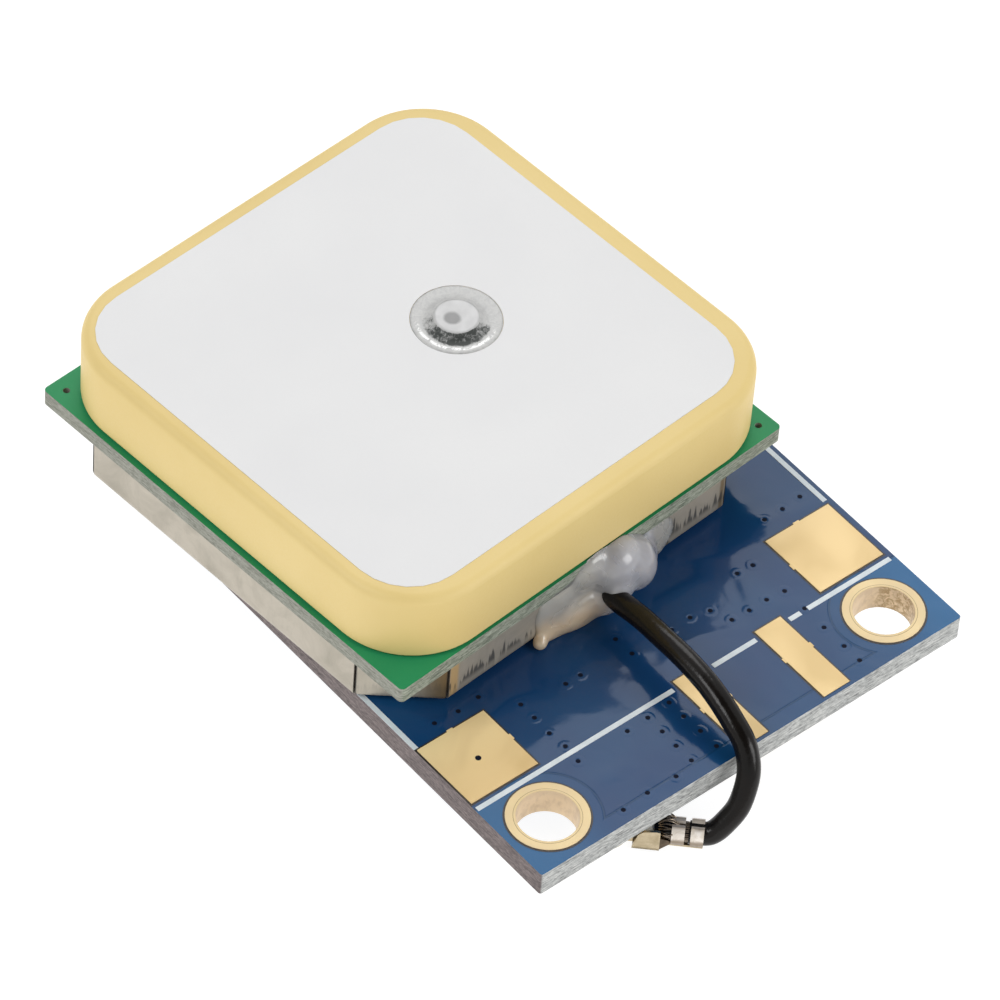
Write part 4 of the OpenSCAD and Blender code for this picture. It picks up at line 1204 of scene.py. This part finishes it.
    def hole_lips(self) -> None:
        """Rounds the rim of each bore into a low lip with a dark line outside it."""
        bm = bmesh.new()
        for x in (-self.hole_x, self.hole_x):
            for y in (0.0, self.rear_hole_y):
                for face in faces_of(lathe(bm, self.lip, self.round_sides, (x, y))):
                    inner = min(math.hypot(v.co.x - x, v.co.y - y) for v in face.verts)
                    face.material_index = int(inner > self.lip_line)
        self.shop.finish_mesh("hole_lips", bm, Matrix(), [Look.HOLE, Look.RIM_LINE], Slot.GOLD, 60.0)


@dataclass
class Underside:
    """Detail of the board's lower face: vias, tracks, print and solder. Millimetres, z down from that face."""

    shop: Workshop
    vias: Sequence[Spot]
    covers: tuple[str, ...] = (
        "receiver_board", "memory_chip", "regulator", "backup_cell", "socket_base", "plug_shell")
    cover_clear: float = 0.4
    header_count: int = 4
    header_pitch: float = 2.54
    header_y: float = 29.9
    header_ring: float = 0.8
    frame_half: Spot = (5.18, 1.18)
    contact_count: int = 12
    contact_pitch: float = 1.1
    track: float = 0.28
    track_height: float = 0.014
    track_reach: Spot = (1.2, 0.35)
    print_width: float = 0.18
    print_height: float = 0.02
    corner_off: Spot = (0.75, 0.4)
    corner_long: Spot = (1.2, 0.8)
    cell_clear: float = 0.25
    print_edge: float = 12.9
    dot_radius: float = 0.2
    dot_in: float = 0.5
    fillet: Point = (0.46, 0.6, 0.62)
    fillet_top: float = 0.15
    fillet_taper: float = 0.6
    fillet_round: float = 0.045
    via_cap: Profile = ((0.0, 0.003), (0.15, 0.003), (0.18, 0.012), (0.24, 0.018), (0.32, 0.012), (0.42, 0.0),
                        (0.42, -0.01), (0.0, -0.01))
    track_end: Profile = ((0.0, 0.016), (0.36, 0.016), (0.42, 0.0), (0.42, -0.01), (0.0, -0.01))

    def build(self) -> None:
        """Makes the detail, mirrored down from the lower face."""
        self.lower_vias()
        self.tracks()
        self.print_marks()
        self.fillets()

    def area(self, node: str) -> tuple[float, float, float, float, float]:
        """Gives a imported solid's sides and its lowest level, in millimetres.

        Args:
            node: Name of the solid.

        Returns:
            The left, front, right and rear sides, and the level below the board's lower face.
        """
        low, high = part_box(node)
        return low.x / MM, low.y / MM, high.x / MM, high.y / MM, -BOARD_THICK - low.z / MM

    def clear(self, x: float, y: float) -> bool:
        """Tells whether no part covers a place."""
        off = self.cover_clear
        return not any(left - off < x < right + off and front - off < y < rear + off
                       for left, front, right, rear, _ in map(self.area, self.covers))

    def contact(self, index: int) -> float:
        """Gives the place along y of one of the receiver's edge contacts."""
        _, front, _, rear, _ = self.area("receiver_board")
        return (front + rear) / 2 + (index - (self.contact_count - 1) / 2) * self.contact_pitch

    def lower_vias(self) -> None:
        """Raises the mask round the lower ends of the vias that no part covers."""
        bm = bmesh.new()
        via_caps(bm, [place for place in self.vias if self.clear(*place)], self.via_cap)
        # The middle of each via is near-black painted shade for its hole.
        self.shop.finish_mesh("lower_vias", bm, LOWER_FACE, [Look.BLUE_BOARD, Look.VIA_HOLE_SHADE], Slot.BOARD, 60.0)

    def tracks(self) -> None:
        """Raises the mask over the tracks from the header and from the receiver's contacts."""
        _, _, right, rear, _ = self.area("receiver_board")
        bm = bmesh.new()
        start = self.header_y - self.header_ring
        for i in range(self.header_count):
            x = (i - (self.header_count - 1) / 2) * self.header_pitch
            plate(bm, (x, (start + rear) / 2, 0.0), (self.track, start - rear, self.track_height))
        for i in range(0, self.contact_count, 2):
            y = self.contact(i)
            reach = self.track_reach[0] + self.track_reach[1] * i
            if self.clear(right + 0.5 + reach, y):
                plate(bm, (right + reach / 2, y, 0.0), (reach, self.track, self.track_height))
                lathe(bm, self.track_end, 16, (right + reach, y))
        self.shop.finish_mesh("lower_tracks", bm, LOWER_FACE, [Look.TRACK], Slot.BOARD)

    def print_marks(self) -> None:
        """Prints the header's frame, the receiver's corners, the cell's ring and the dots of the first leads."""
        bm = bmesh.new()
        wide, high = self.print_width, self.print_height
        half, deep = self.frame_half
        for side in (-1.0, 1.0):
            plate(bm, (0.0, self.header_y + side * deep, 0.0), (2 * half + wide, wide, high))
            plate(bm, (side * half, self.header_y, 0.0), (wide, 2 * deep - wide, high))
        left, front, right, rear, _ = self.area("receiver_board")
        (off_x, off_y), (long_x, long_y) = self.corner_off, self.corner_long
        for x, inward in ((left - off_x, 1.0), (right + off_x, -1.0)):
            for y, along in ((front - off_y, 1.0), (rear + off_y, -1.0)):
                plate(bm, (x + inward * long_x / 2, y, 0.0), (long_x + wide, wide, high))
                plate(bm, (x, y + along * long_y / 2, 0.0), (wide, long_y, high))
        left, front, right, rear, _ = self.area("backup_cell")
        r0 = (right - left) / 2 + self.cell_clear
        r1 = r0 + wide
        verts = lathe(bm, ((r0, 0.0), (r0, high), (r1, high), (r1, 0.0), (r0, 0.0)), 64,
                      ((left + right) / 2, (front + rear) / 2))
        ring = list({part for v in verts for part in (v, *v.link_edges, *v.link_faces)})
        cut_off(bm, ring, (self.print_edge, 0.0, 0.0), (1.0, 0.0, 0.0))
        for node in ("memory_chip", "regulator"):
            left, _, _, rear, drop = self.area(node)
            top, foot = drop + 0.004, drop - 0.02
            lathe(bm, ((0.0, top), (self.dot_radius, top), (self.dot_radius, foot), (0.0, foot)), 20,
                  (left + self.dot_in, rear - self.dot_in))
        self.shop.finish_mesh("lower_print", bm, LOWER_FACE, [Look.PRINT_INK], Slot.BOARD)

    def fillets(self) -> None:
        """Sets a solder fillet at each of the receiver's edge contacts."""
        left, _, right, _, _ = self.area("receiver_board")
        bm = bmesh.new()
        for edge, out in ((left, -1.0), (right, 1.0)):
            for i in range(self.contact_count):
                y = self.contact(i)
                for vert in plate(bm, (edge + out * self.fillet[0] / 2, y, 0.0), self.fillet):
                    if vert.co.z > self.fillet[2] / 2:
                        vert.co.x = edge + out * self.fillet_top if abs(vert.co.x - edge) > 0.1 else edge
                        vert.co.y = y + self.fillet_taper * (vert.co.y - y)
        round_edges(bm, list(bm.edges), self.fillet_round, 2)
        self.shop.finish_mesh("contact_fillets", bm, LOWER_FACE, [Look.SOLDER], Slot.SOLDER, 50.0)


@dataclass
class Antenna:
    """Ceramic patch and its feed pin. Sizes in millimetres, in the antenna's own frame."""

    shop: Workshop
    shift: Spot = (0.35, 0.15)
    side: float = 25.198
    low: float = 4.0
    high: float = 8.0
    corner: float = 4.3
    edge: float = 0.5
    foot: float = 0.15
    pit_shift: float = 0.26
    pit_reach: float = 0.95
    head: Profile = ((0.0, 0.27), (0.34, 0.272), (0.43, 0.285), (0.52, 0.294), (0.95, 0.299), (1.04, 0.292),
                     (1.1, 0.268), (1.12, 0.22), (1.12, 0.0), (0.0, 0.0))
    collar: Profile = ((1.08, 0.29), (1.13, 0.275), (1.2, 0.215), (1.35, 0.125), (1.55, 0.068), (1.75, 0.052),
                       (1.95, 0.055), (2.12, 0.058), (2.2, 0.045), (2.235, 0.01), (2.235, 0.0), (1.08, 0.0),
                       (1.08, 0.29))

    def build(self) -> None:
        """Makes the ceramic and the feed pin."""
        self.ceramic()
        self.feed()

    def ceramic(self) -> None:
        """Bevels a block into the ceramic with round corners and a soft upper edge."""
        bm = bmesh.new()
        plate(bm, (*self.shift, self.low), (self.side, self.side, self.high - self.low))
        upright = [e for e in bm.edges if abs(e.verts[0].co.z - e.verts[1].co.z) > 1.0]
        round_edges(bm, upright, self.corner, 20)
        for level, size, segments in ((self.high, self.edge, 6), (self.low, self.foot, 3)):
            rim = [e for e in bm.edges if all(abs(v.co.z - level) < 1e-5 for v in e.verts)]
            round_edges(bm, rim, size, segments)
        piece = self.shop.finish_mesh("patch_body", bm, ANTENNA, [Look.CERAMIC], Slot.CERAMIC, 50.0)
        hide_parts("ceramic_patch")

    def feed(self) -> None:
        """Spins the pin's head, draws its middle aside, and spins the bright solder collar round it."""
        bm = bmesh.new()
        for vert in lathe(bm, [(r, self.high + h) for r, h in self.head], 64):
            vert.co.x -= self.pit_shift * max(0.0, 1.0 - math.hypot(vert.co.x, vert.co.y) / self.pit_reach)
        head = self.shop.finish_mesh("feed_head", bm, FEED, [Look.PIN], Slot.SOLDER, 60.0)
        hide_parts("feed_pin")
        bm = bmesh.new()
        lathe(bm, [(r, self.high + h) for r, h in self.collar], 72)
        collar = self.shop.finish_mesh("feed_collar", bm, FEED, [Look.COLLAR], Slot.SOLDER, 70.0)
        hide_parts("feed_solder")


@dataclass
class Lead:
    """Coax lead from the can to the plug, and the braid at its crimp. Sizes in millimetres."""

    shop: Workshop
    radius: float = 0.57
    sides: int = 28
    level: float = 1.595
    wires: int = 30
    wire_radius: float = 0.04
    core_radius: float = 0.41
    core_dip: float = 0.1
    route: tuple[Point, ...] = (
        (0.2, 10.4, 1.8), (0.0, 8.9, 1.65), (-0.2, 7.4, 1.52), (-0.16, 5.6, 1.72), (-0.25, 3.8, 1.92),
        (-0.32, 2.2, 2.02), (-0.4, 0.6, 1.92), (-0.5, -0.6, 1.67), (-0.62, -1.7, 1.3), (-0.7, -2.5, 0.9),
        (-0.87, -3.1, 0.35), (-1.14, -3.53, -0.25), (-1.56, -3.81, -0.95), (-2.06, -3.97, -1.65),
        (-2.66, -3.9, -2.3), (-3.12, -3.73, -2.8), (-3.47, -3.48, -2.995), (-4.02, -2.93, -2.995))
    # Each place along a wire: way from the plug's middle, radius, share of the fan's lift, share of the sway
    stations: tuple[tuple[float, float, float, float], ...] = (
        (4.1, 0.44, 0.0, 0.0), (3.8, 0.46, 0.0, 0.1), (3.5, 0.42, 0.2, 0.15), (3.22, 0.44, 0.8, 0.2),
        (3.0, 0.44, 1.0, 0.35), (2.8, 0.42, 0.8, 0.5), (2.6, 0.36, 0.3, 0.62), (2.45, 0.3, 0.0, 0.7))

    def build(self) -> None:
        """Makes the jacket and the braid."""
        bm = bmesh.new()
        tube(bm, smooth_route(self.route, 8), self.radius, self.sides)
        jacket = self.shop.finish_mesh("lead_jacket", bm, Matrix(), [Look.JACKET], Slot.CABLE, 60.0)
        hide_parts("coax_jacket")
        self.braid()

    def braid(self) -> None:
        """Lays the fine braid wires through the crimp and fans them out before the plug's neck."""
        bm = bmesh.new()
        for k in range(self.wires):
            tube(bm, smooth_route(self.wire(k), 3), self.wire_radius, 6)
        wires = set(bm.faces)
        dip = self.level - self.core_dip
        core = [(4.1, 0.0, self.level), (3.3, 0.0, dip), (2.9, 0.0, dip), (2.45, 0.0, self.level)]
        tube(bm, smooth_route(core, 4), self.core_radius, 20)
        for face in bm.faces:
            face.material_index = int(face not in wires)
        piece = self.shop.finish_mesh("lead_braid", bm, PLUG, [Look.WIRE, Look.JACKET], Slot.BRAID, 80.0)
        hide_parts("coax_braid")

    def wire(self, index: int) -> list[Point]:
        """Finds the way of one wire of the braid, each with its own sway and lift.

        Args:
            index: Number of the wire.

        Returns:
            Its points in the plug's own frame.
        """
        angle = math.tau * index / self.wires
        sway = 0.5 * math.sin(3.7 * index + 0.6)
        lift = 0.3 * max(0.0, -math.sin(angle)) * (1.0 + 0.4 * math.sin(5.3 * index))
        path: list[Point] = []
        for x, radius, share, turn in self.stations:
            r, a = radius + share * lift, angle + sway * turn
            path.append((x, r * math.cos(a), self.level + r * math.sin(a)))
        return path


@dataclass
class Plug:
    """Stamped shell of the push-fit plug: cup, neck, spine, two crimps. Millimetres, own frame, z down."""

    shop: Workshop
    sheet: float = 0.13
    cup_radius: float = 1.3
    cup_rim: float = 0.6
    cup_base: float = 2.06
    base: float = 2.3
    neck_start: float = 1.42
    neck_half: float = 0.75
    neck_end: float = 2.69
    spine_half: float = 0.35
    step_long: float = 0.7
    level: float = 1.595
    crimp_radius: float = 0.64
    crimp_width: float = 0.62
    crimp_sheet: float = 0.11
    crimps: Spot = (3.5, 4.4)
    neck_side: Profile = (
        (1.40, 2.3), (2.69, 2.3), (2.69, 1.02), (2.5, 0.98), (1.9, 1.08), (1.66, 1.3), (1.46, 2.0))
    web_side: tuple[Point, ...] = ((2.66, 0.72, 2.28), (2.66, 0.72, 1.45), (3.22, 0.45, 1.9), (3.22, 0.3, 2.24))
    # Half of a crimp's strip from the curled end to the spine, in shares of its radius
    wing: Profile = ((0.035, -0.3), (0.06, -0.62), (0.2, -0.92), (0.48, -0.98), (0.78, -0.72), (0.96, -0.3),
                     (0.98, 0.2), (0.8, 0.68), (0.42, 0.96), (0.0, 1.02))

    def build(self) -> None:
        """Makes the stamped shell."""
        bm = bmesh.new()
        self.cup(bm)
        spine = 2 * self.spine_half
        inside, top = self.cup_base - self.sheet, self.base - self.sheet
        plate(bm, (self.neck_start, 0.0, inside), (self.step_long, spine, self.base - self.cup_base + self.sheet))
        for side in (-1.0, 1.0):
            self.cheek(bm, [(x, side * self.neck_half, z) for x, z in self.neck_side])
            # Painted shade: the webs take the dark copy of the plug's sheet.
            for face in self.cheek(bm, [(x, side * y, z) for x, y, z in self.web_side]):
                face.material_index = 2
        plate(bm, ((self.neck_start + self.neck_end) / 2, 0.0, top),
              (self.neck_end - self.neck_start, 2 * self.neck_half, self.sheet))
        tail = self.crimps[1] + self.crimp_width / 2
        plate(bm, ((self.neck_end + tail) / 2, 0.0, top), (tail - self.neck_end, spine, self.sheet))
        sheet_faces = set(bm.faces)
        for place in self.crimps:
            self.crimp(bm, place)
        for face in bm.faces:
            if face not in sheet_faces:
                face.material_index = 1
        looks = [Look.PLUG, Look.CRIMP, Look.SHADED_WEB]
        piece = self.shop.finish_mesh("plug_stamping", bm, PLUG, looks, Slot.PLUG, 40.0)
        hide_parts("plug_shell")

    def cup(self, bm: BMesh) -> None:
        """Spins the drawn cup with its rounded base and rim.

        Args:
            bm: Shape to add to.
        """
        outer, inner = self.cup_radius, self.cup_radius - self.sheet
        low, rim = self.cup_base, self.cup_rim
        lathe(bm, ((0.0, low), (outer - 0.15, low), (outer - 0.04, low - 0.04), (outer, low - 0.15),
                   (outer, rim + 0.05), (outer - 0.03, rim), (inner + 0.03, rim), (inner, rim + 0.05),
                   (inner, low - self.sheet), (0.0, low - self.sheet)), 56)

    def cheek(self, bm: BMesh, outline: Sequence[Point]) -> list[BMFace]:
        """Adds one side wall, a sheet that is thickened inwards.

        Args:
            bm: Shape to add to.
            outline: Corners of its outer face.

        Returns:
            The wall's faces.
        """
        face = bm.faces.new([bm.verts.new(point) for point in outline])
        verts = grown_verts(bmesh.ops.extrude_face_region(bm, geom=[face]))
        bmesh.ops.translate(bm, vec=(0.0, -math.copysign(self.sheet, outline[0][1]), 0.0), verts=verts)
        faces = faces_of([*face.verts, *verts])
        bmesh.ops.recalc_face_normals(bm, faces=faces)
        return faces

    def crimp(self, bm: BMesh, place: float) -> None:
        """Adds one crimp: a strip rolled round the lead, its two ends curled in side by side on top.

        Args:
            bm: Shape to add to.
            place: Place of its middle along the lead.
        """
        r, x = self.crimp_radius, place - self.crimp_width / 2
        strip = [(-y, z) for y, z in self.wing] + [(y, z) for y, z in reversed(self.wing[:-1])]
        before = set(bm.faces)
        line = [bm.verts.new((x, r * y, self.level + r * z)) for y, z in strip]
        edges = [bm.edges.new(pair) for pair in zip(line, line[1:])]
        verts = grown_verts(bmesh.ops.extrude_edge_only(bm, edges=edges))
        bmesh.ops.translate(bm, vec=(self.crimp_width, 0.0, 0.0), verts=verts)
        faces = [f for f in bm.faces if f not in before]
        bmesh.ops.recalc_face_normals(bm, faces=faces)
        bmesh.ops.solidify(bm, geom=faces, thickness=self.crimp_sheet)
        bmesh.ops.recalc_face_normals(bm, faces=[f for f in bm.faces if f not in before])


@dataclass
class Glue:
    """Silicone over the cable window, pressed against what it touches. Millimetres, antenna's own frame."""

    shop: Workshop
    wall: float = -12.25
    board_edge: float = -12.5
    ceramic_edge: float = -12.45
    can_top: float = 3.0
    board_top: float = 3.9
    film: float = 0.005
    floor: float = 0.01
    window: tuple[Spot, Spot] = ((-3.1, 4.9), (0.5, 2.7))
    window_deep: float = 0.15
    voxel: float = 0.07
    soft_rounds: int = 80
    # Middle of each lobe, as way along the wall, step out of it and height, and its three radii
    lobes: tuple[tuple[Point, Point], ...] = (
        ((1.4, -0.15, 2.45), (1.7, 1.5, 1.6)),
        ((2.25, -0.35, 2.0), (1.3, 1.5, 1.6)),
        ((2.9, -0.15, 1.4), (1.25, 1.0, 1.55)),
        ((0.2, -0.05, 2.9), (1.7, 0.7, 1.2)),
        ((0.9, -1.3, 1.75), (0.85, 0.5, 0.72)),
        ((-1.5, 0.05, 1.6), (2.15, 0.48, 1.7)),
        ((-2.55, 0.02, 1.6), (1.05, 0.34, 1.65)),
        ((4.3, 0.05, 1.6), (1.45, 0.24, 1.55)),
        ((0.6, -0.55, 0.9), (1.1, 0.9, 1.0)),
        ((-0.5, -0.15, 0.7), (2.1, 0.78, 1.25)),
        ((-2.0, -0.05, 0.5), (1.5, 0.5, 0.95)),
        ((-2.8, -0.1, 0.25), (0.8, 0.35, 0.4)),
        ((-3.4, -0.3, 0.3), (0.42, 0.42, 0.42)))
    # Cuts through what lies deep inside a solid: place, as step from the wall and height, and outward way
    cuts: tuple[tuple[Spot, Point], ...] = (
        ((0.3, 0.0), (0.0, 1.0, 0.0)), ((0.0, -0.2), (0.0, 0.0, -1.0)), ((0.0, 0.06), (0.0, 1.0, -1.0)))

    def build(self) -> None:
        """Melts the lobes together and presses them against the can, the boards and the ceramic."""
        bm = bmesh.new()
        for (x, out, z), radii in self.lobes:
            verts = bmesh.ops.create_icosphere(bm, subdivisions=4, radius=1.0)["verts"]
            bmesh.ops.scale(bm, vec=radii, verts=verts)
            bmesh.ops.translate(bm, vec=(x, self.wall + out, z), verts=verts)
        bm = self.melt(bm)
        for (out, z), outward in self.cuts:
            cut_off(bm, [*bm.verts, *bm.edges, *bm.faces], (0.0, self.wall + out, z), outward)
        for _ in range(3):
            self.press(bm)
            bmesh.ops.smooth_vert(bm, verts=bm.verts, factor=0.3, use_axis_x=True, use_axis_y=True,
                                  use_axis_z=True)
        self.press(bm)
        piece = self.shop.finish_mesh("glue_seal", bm, ANTENNA, [Look.GLUE], Slot.GLUE, 80.0)
        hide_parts("sealing_glue")

    def melt(self, bm: BMesh) -> BMesh:
        """Remeshes the lobes into one skin.

        Args:
            bm: Overlapping lobes, which are freed.

        Returns:
            The joined and smoothed skin.
        """
        mesh = bpy.data.meshes.new("glue_melt")
        bm.to_mesh(mesh)
        bm.free()
        scratch = bpy.data.objects.new("glue_melt", mesh)
        bpy.context.scene.collection.objects.link(scratch)
        remesh = scratch.modifiers.new("melt", "REMESH")
        remesh.mode = "VOXEL"
        remesh.voxel_size = self.voxel
        soften = scratch.modifiers.new("soften", "SMOOTH")
        soften.factor = 0.5
        soften.iterations = self.soft_rounds
        done = bpy.data.meshes.new_from_object(scratch.evaluated_get(bpy.context.evaluated_depsgraph_get()))
        out = bmesh.new()
        out.from_mesh(done)
        bpy.data.objects.remove(scratch)
        bpy.data.meshes.remove(mesh)
        bpy.data.meshes.remove(done)
        return out

    def press(self, bm: BMesh) -> None:
        """Moves each point of the skin out of the solids that it lies against.

        Args:
            bm: Skin to press.
        """
        (left, right), (low, high) = self.window
        for vert in bm.verts:
            x, y, z = vert.co
            z = max(z, self.floor)
            if z < self.can_top:
                in_window = left < x < right and low < z < high
                limit = self.wall + (self.window_deep if in_window else -self.film)
            elif z < self.board_top:
                limit = self.board_edge - self.film
            else:
                limit = self.ceramic_edge - self.film
            vert.co = (x, min(y, limit), z)


@dataclass
class Nodes:
    """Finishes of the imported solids."""

    shop: Workshop
    objects: dict[str, Object]

    def dress(self) -> None:
        """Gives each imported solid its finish."""
        chosen = {
            Look.BLUE_BOARD: ("main_board",),
            Look.GREEN_BOARD: ("antenna_board",),
            Look.BLACK_BOARD: ("receiver_board",),
            Look.HOLE: ("hole_plating", "header_plating"),
            Look.PAD: ("square_pads", "edge_pads"),
            Look.GOLD: ("plug_contact", "socket_ring", "socket_pin"),
            Look.TIN_CAN: ("shield_can",),
            Look.STEEL: ("receiver_shield", "receiver_crystal", "backup_cell"),
            Look.TIN: ("memory_leads", "regulator_leads", "cell_tabs", "chip_terminals"),
            Look.SOLDER: ("feed_solder", "feed_joint", "coax_joints"),
            Look.PIN: ("feed_pin",),
            Look.PLUG: ("plug_shell",),
            Look.WIRE: ("coax_braid",),
            Look.CERAMIC: ("ceramic_patch",),
            Look.SILVER: ("patch_electrode",),
            Look.JACKET: ("coax_jacket",),
            Look.CORE: ("coax_core",),
            Look.MOULDING: ("plug_insulator", "socket_base"),
            Look.CHIP: ("amplifier_chip", "receiver_chip", "memory_chip", "regulator", "resistors"),
            Look.CAPACITOR: ("saw_filter", "antenna_passives", "capacitors"),
            Look.TAPE: ("mounting_tape", "patch_film"),
            Look.LAMP: ("status_light",),
            Look.GLUE: ("sealing_glue",),
        }
        for look, names in chosen.items():
            for name in names:
                node = self.objects[name]
                if not node.material_slots:
                    node.data.materials.append(self.shop.materials[look])
                for slot in node.material_slots:
                    slot.material = self.shop.materials[look]
        bare = set(self.objects) - {name for names in chosen.values() for name in names}
        if bare:
            LOG.warning("no finish for %s", sorted(bare))


@dataclass
class Studio:
    """Pale floor, soft light and the camera at the photograph's angle. Sizes in metres."""

    floor_level: float
    floor_half: float = 1.5
    eye: Point = (-0.14925, -0.14432, 0.24628)
    right: Point = (0.77038, -0.63537, 0.05304)
    down: Point = (-0.44847, -0.59913, -0.66327)
    ahead: Point = (0.4532, 0.48718, -0.7465)
    lens: float = 247.37
    sensor: float = 36.0
    clip: Spot = (0.01, 10.0)
    sky_level: float = 0.75
    room_level: float = 0.05
    room: Point = (-0.26, -0.28, 0.924)
    room_edge: Spot = (0.78, 0.9)
    target: Point = (0.0, 0.012, 0.0)
    # Name, place, side and power in watts of each lamp
    lamps: tuple[tuple[str, Point, float, float], ...] = (
        ("key", (-0.36, 0.1, 0.36), 0.2, 0.75), ("front", (0.22, -0.42, 0.26), 0.24, 0.9),
        ("back", (0.272, 0.304, 0.448), 0.3, 0.85))

    def build(self) -> None:
        """Makes the floor, the light and the camera."""
        self.floor()
        self.sky()
        for name, place, size, power in self.lamps:
            self.lamp(name, place, size, power)
        self.camera()
        bpy.context.scene.view_settings.view_transform = "Standard"

    def floor(self) -> None:
        """Lays a wide pale floor below the module."""
        bm = bmesh.new()
        bmesh.ops.create_grid(bm, x_segments=1, y_segments=1, size=self.floor_half)
        bmesh.ops.translate(bm, vec=(0.0, 0.0, self.floor_level), verts=bm.verts)
        mesh = bpy.data.meshes.new("floor")
        bm.to_mesh(mesh)
        bm.free()
        s = Shader("pale floor")
        tone = s.mix(s.span(s.noise(3.0, 2.0, 0.55), 0.3, 0.7), (0.24, 0.24, 0.24), (0.27, 0.27, 0.27))
        s.join(tone, "Base Color")
        s.put(Roughness=0.9, Specular_IOR_Level=0.1, Emission_Color=(1.0, 1.0, 1.0, 1.0), Emission_Strength=0.9)
        mesh.materials.append(s.material)
        floor = bpy.data.objects.new("floor", mesh)
        bpy.context.scene.collection.objects.link(floor)
        floor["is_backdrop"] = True

    def sky(self) -> None:
        """Surrounds the module with soft light, with a dark patch of room behind the camera."""
        world = bpy.data.worlds.new("studio")
        bpy.context.scene.world = world
        world.use_nodes = True
        tree = world.node_tree
        tree.nodes.clear()
        coords = tree.nodes.new("ShaderNodeTexCoord")
        dot = tree.nodes.new("ShaderNodeVectorMath")
        dot.operation = "DOT_PRODUCT"
        tree.links.new(coords.outputs["Generated"], dot.inputs[0])
        dot.inputs[1].default_value = self.room
        ramp = tree.nodes.new("ShaderNodeMapRange")
        ramp.interpolation_type = "SMOOTHSTEP"
        for index, number in enumerate((*self.room_edge, self.sky_level, self.room_level), start=1):
            ramp.inputs[index].default_value = number
        tree.links.new(dot.outputs["Value"], ramp.inputs[0])
        back = tree.nodes.new("ShaderNodeBackground")
        back.inputs["Color"].default_value = (1.0, 1.0, 1.0, 1.0)
        tree.links.new(ramp.outputs[0], back.inputs["Strength"])
        out = tree.nodes.new("ShaderNodeOutputWorld")
        tree.links.new(back.outputs[0], out.inputs["Surface"])

    def lamp(self, name: str, place: Point, size: float, power: float) -> None:
        """Hangs a square soft light that faces the module.

        Args:
            name: Name of the light.
            place: Place in metres.
            size: Side in metres.
            power: Power in watts.
        """
        data = bpy.data.lights.new(name, "AREA")
        data.size = size
        data.energy = power
        lamp = bpy.data.objects.new(name, data)
        lamp.location = place
        lamp.rotation_euler = (Vector(self.target) - Vector(place)).to_track_quat("-Z", "Y").to_euler()
        bpy.context.scene.collection.objects.link(lamp)

    def camera(self) -> None:
        """Sets the camera that was solved from the photograph."""
        data = bpy.data.cameras.new("camera")
        data.sensor_fit = "HORIZONTAL"
        data.sensor_width = self.sensor
        data.lens = self.lens
        data.clip_start, data.clip_end = self.clip
        camera = bpy.data.objects.new("camera", data)
        axes = Matrix((self.right, -Vector(self.down), -Vector(self.ahead))).transposed()
        camera.matrix_world = Matrix.Translation(self.eye) @ axes.to_4x4()
        bpy.context.scene.collection.objects.link(camera)
        bpy.context.scene.camera = camera


def main() -> None:
    """Loads the frame, makes the pieces and the studio, and notes the sizes."""
    logging.basicConfig(level=logging.INFO, format="%(message)s")
    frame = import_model()
    solid_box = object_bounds()
    shop = Workshop()
    Studio(solid_box[0][2]).build()
    Nodes(shop, frame["nodes"]).dress()
    Lead(shop).build()
    Plug(shop).build()
    board = MainBoard(shop)
    board.build()
    Underside(shop, board.vias).build()
    Antenna(shop).build()
    Glue(shop).build()
    LOG.info("%d pieces made", len(shop.made))


if __name__ == "__main__":
    main()
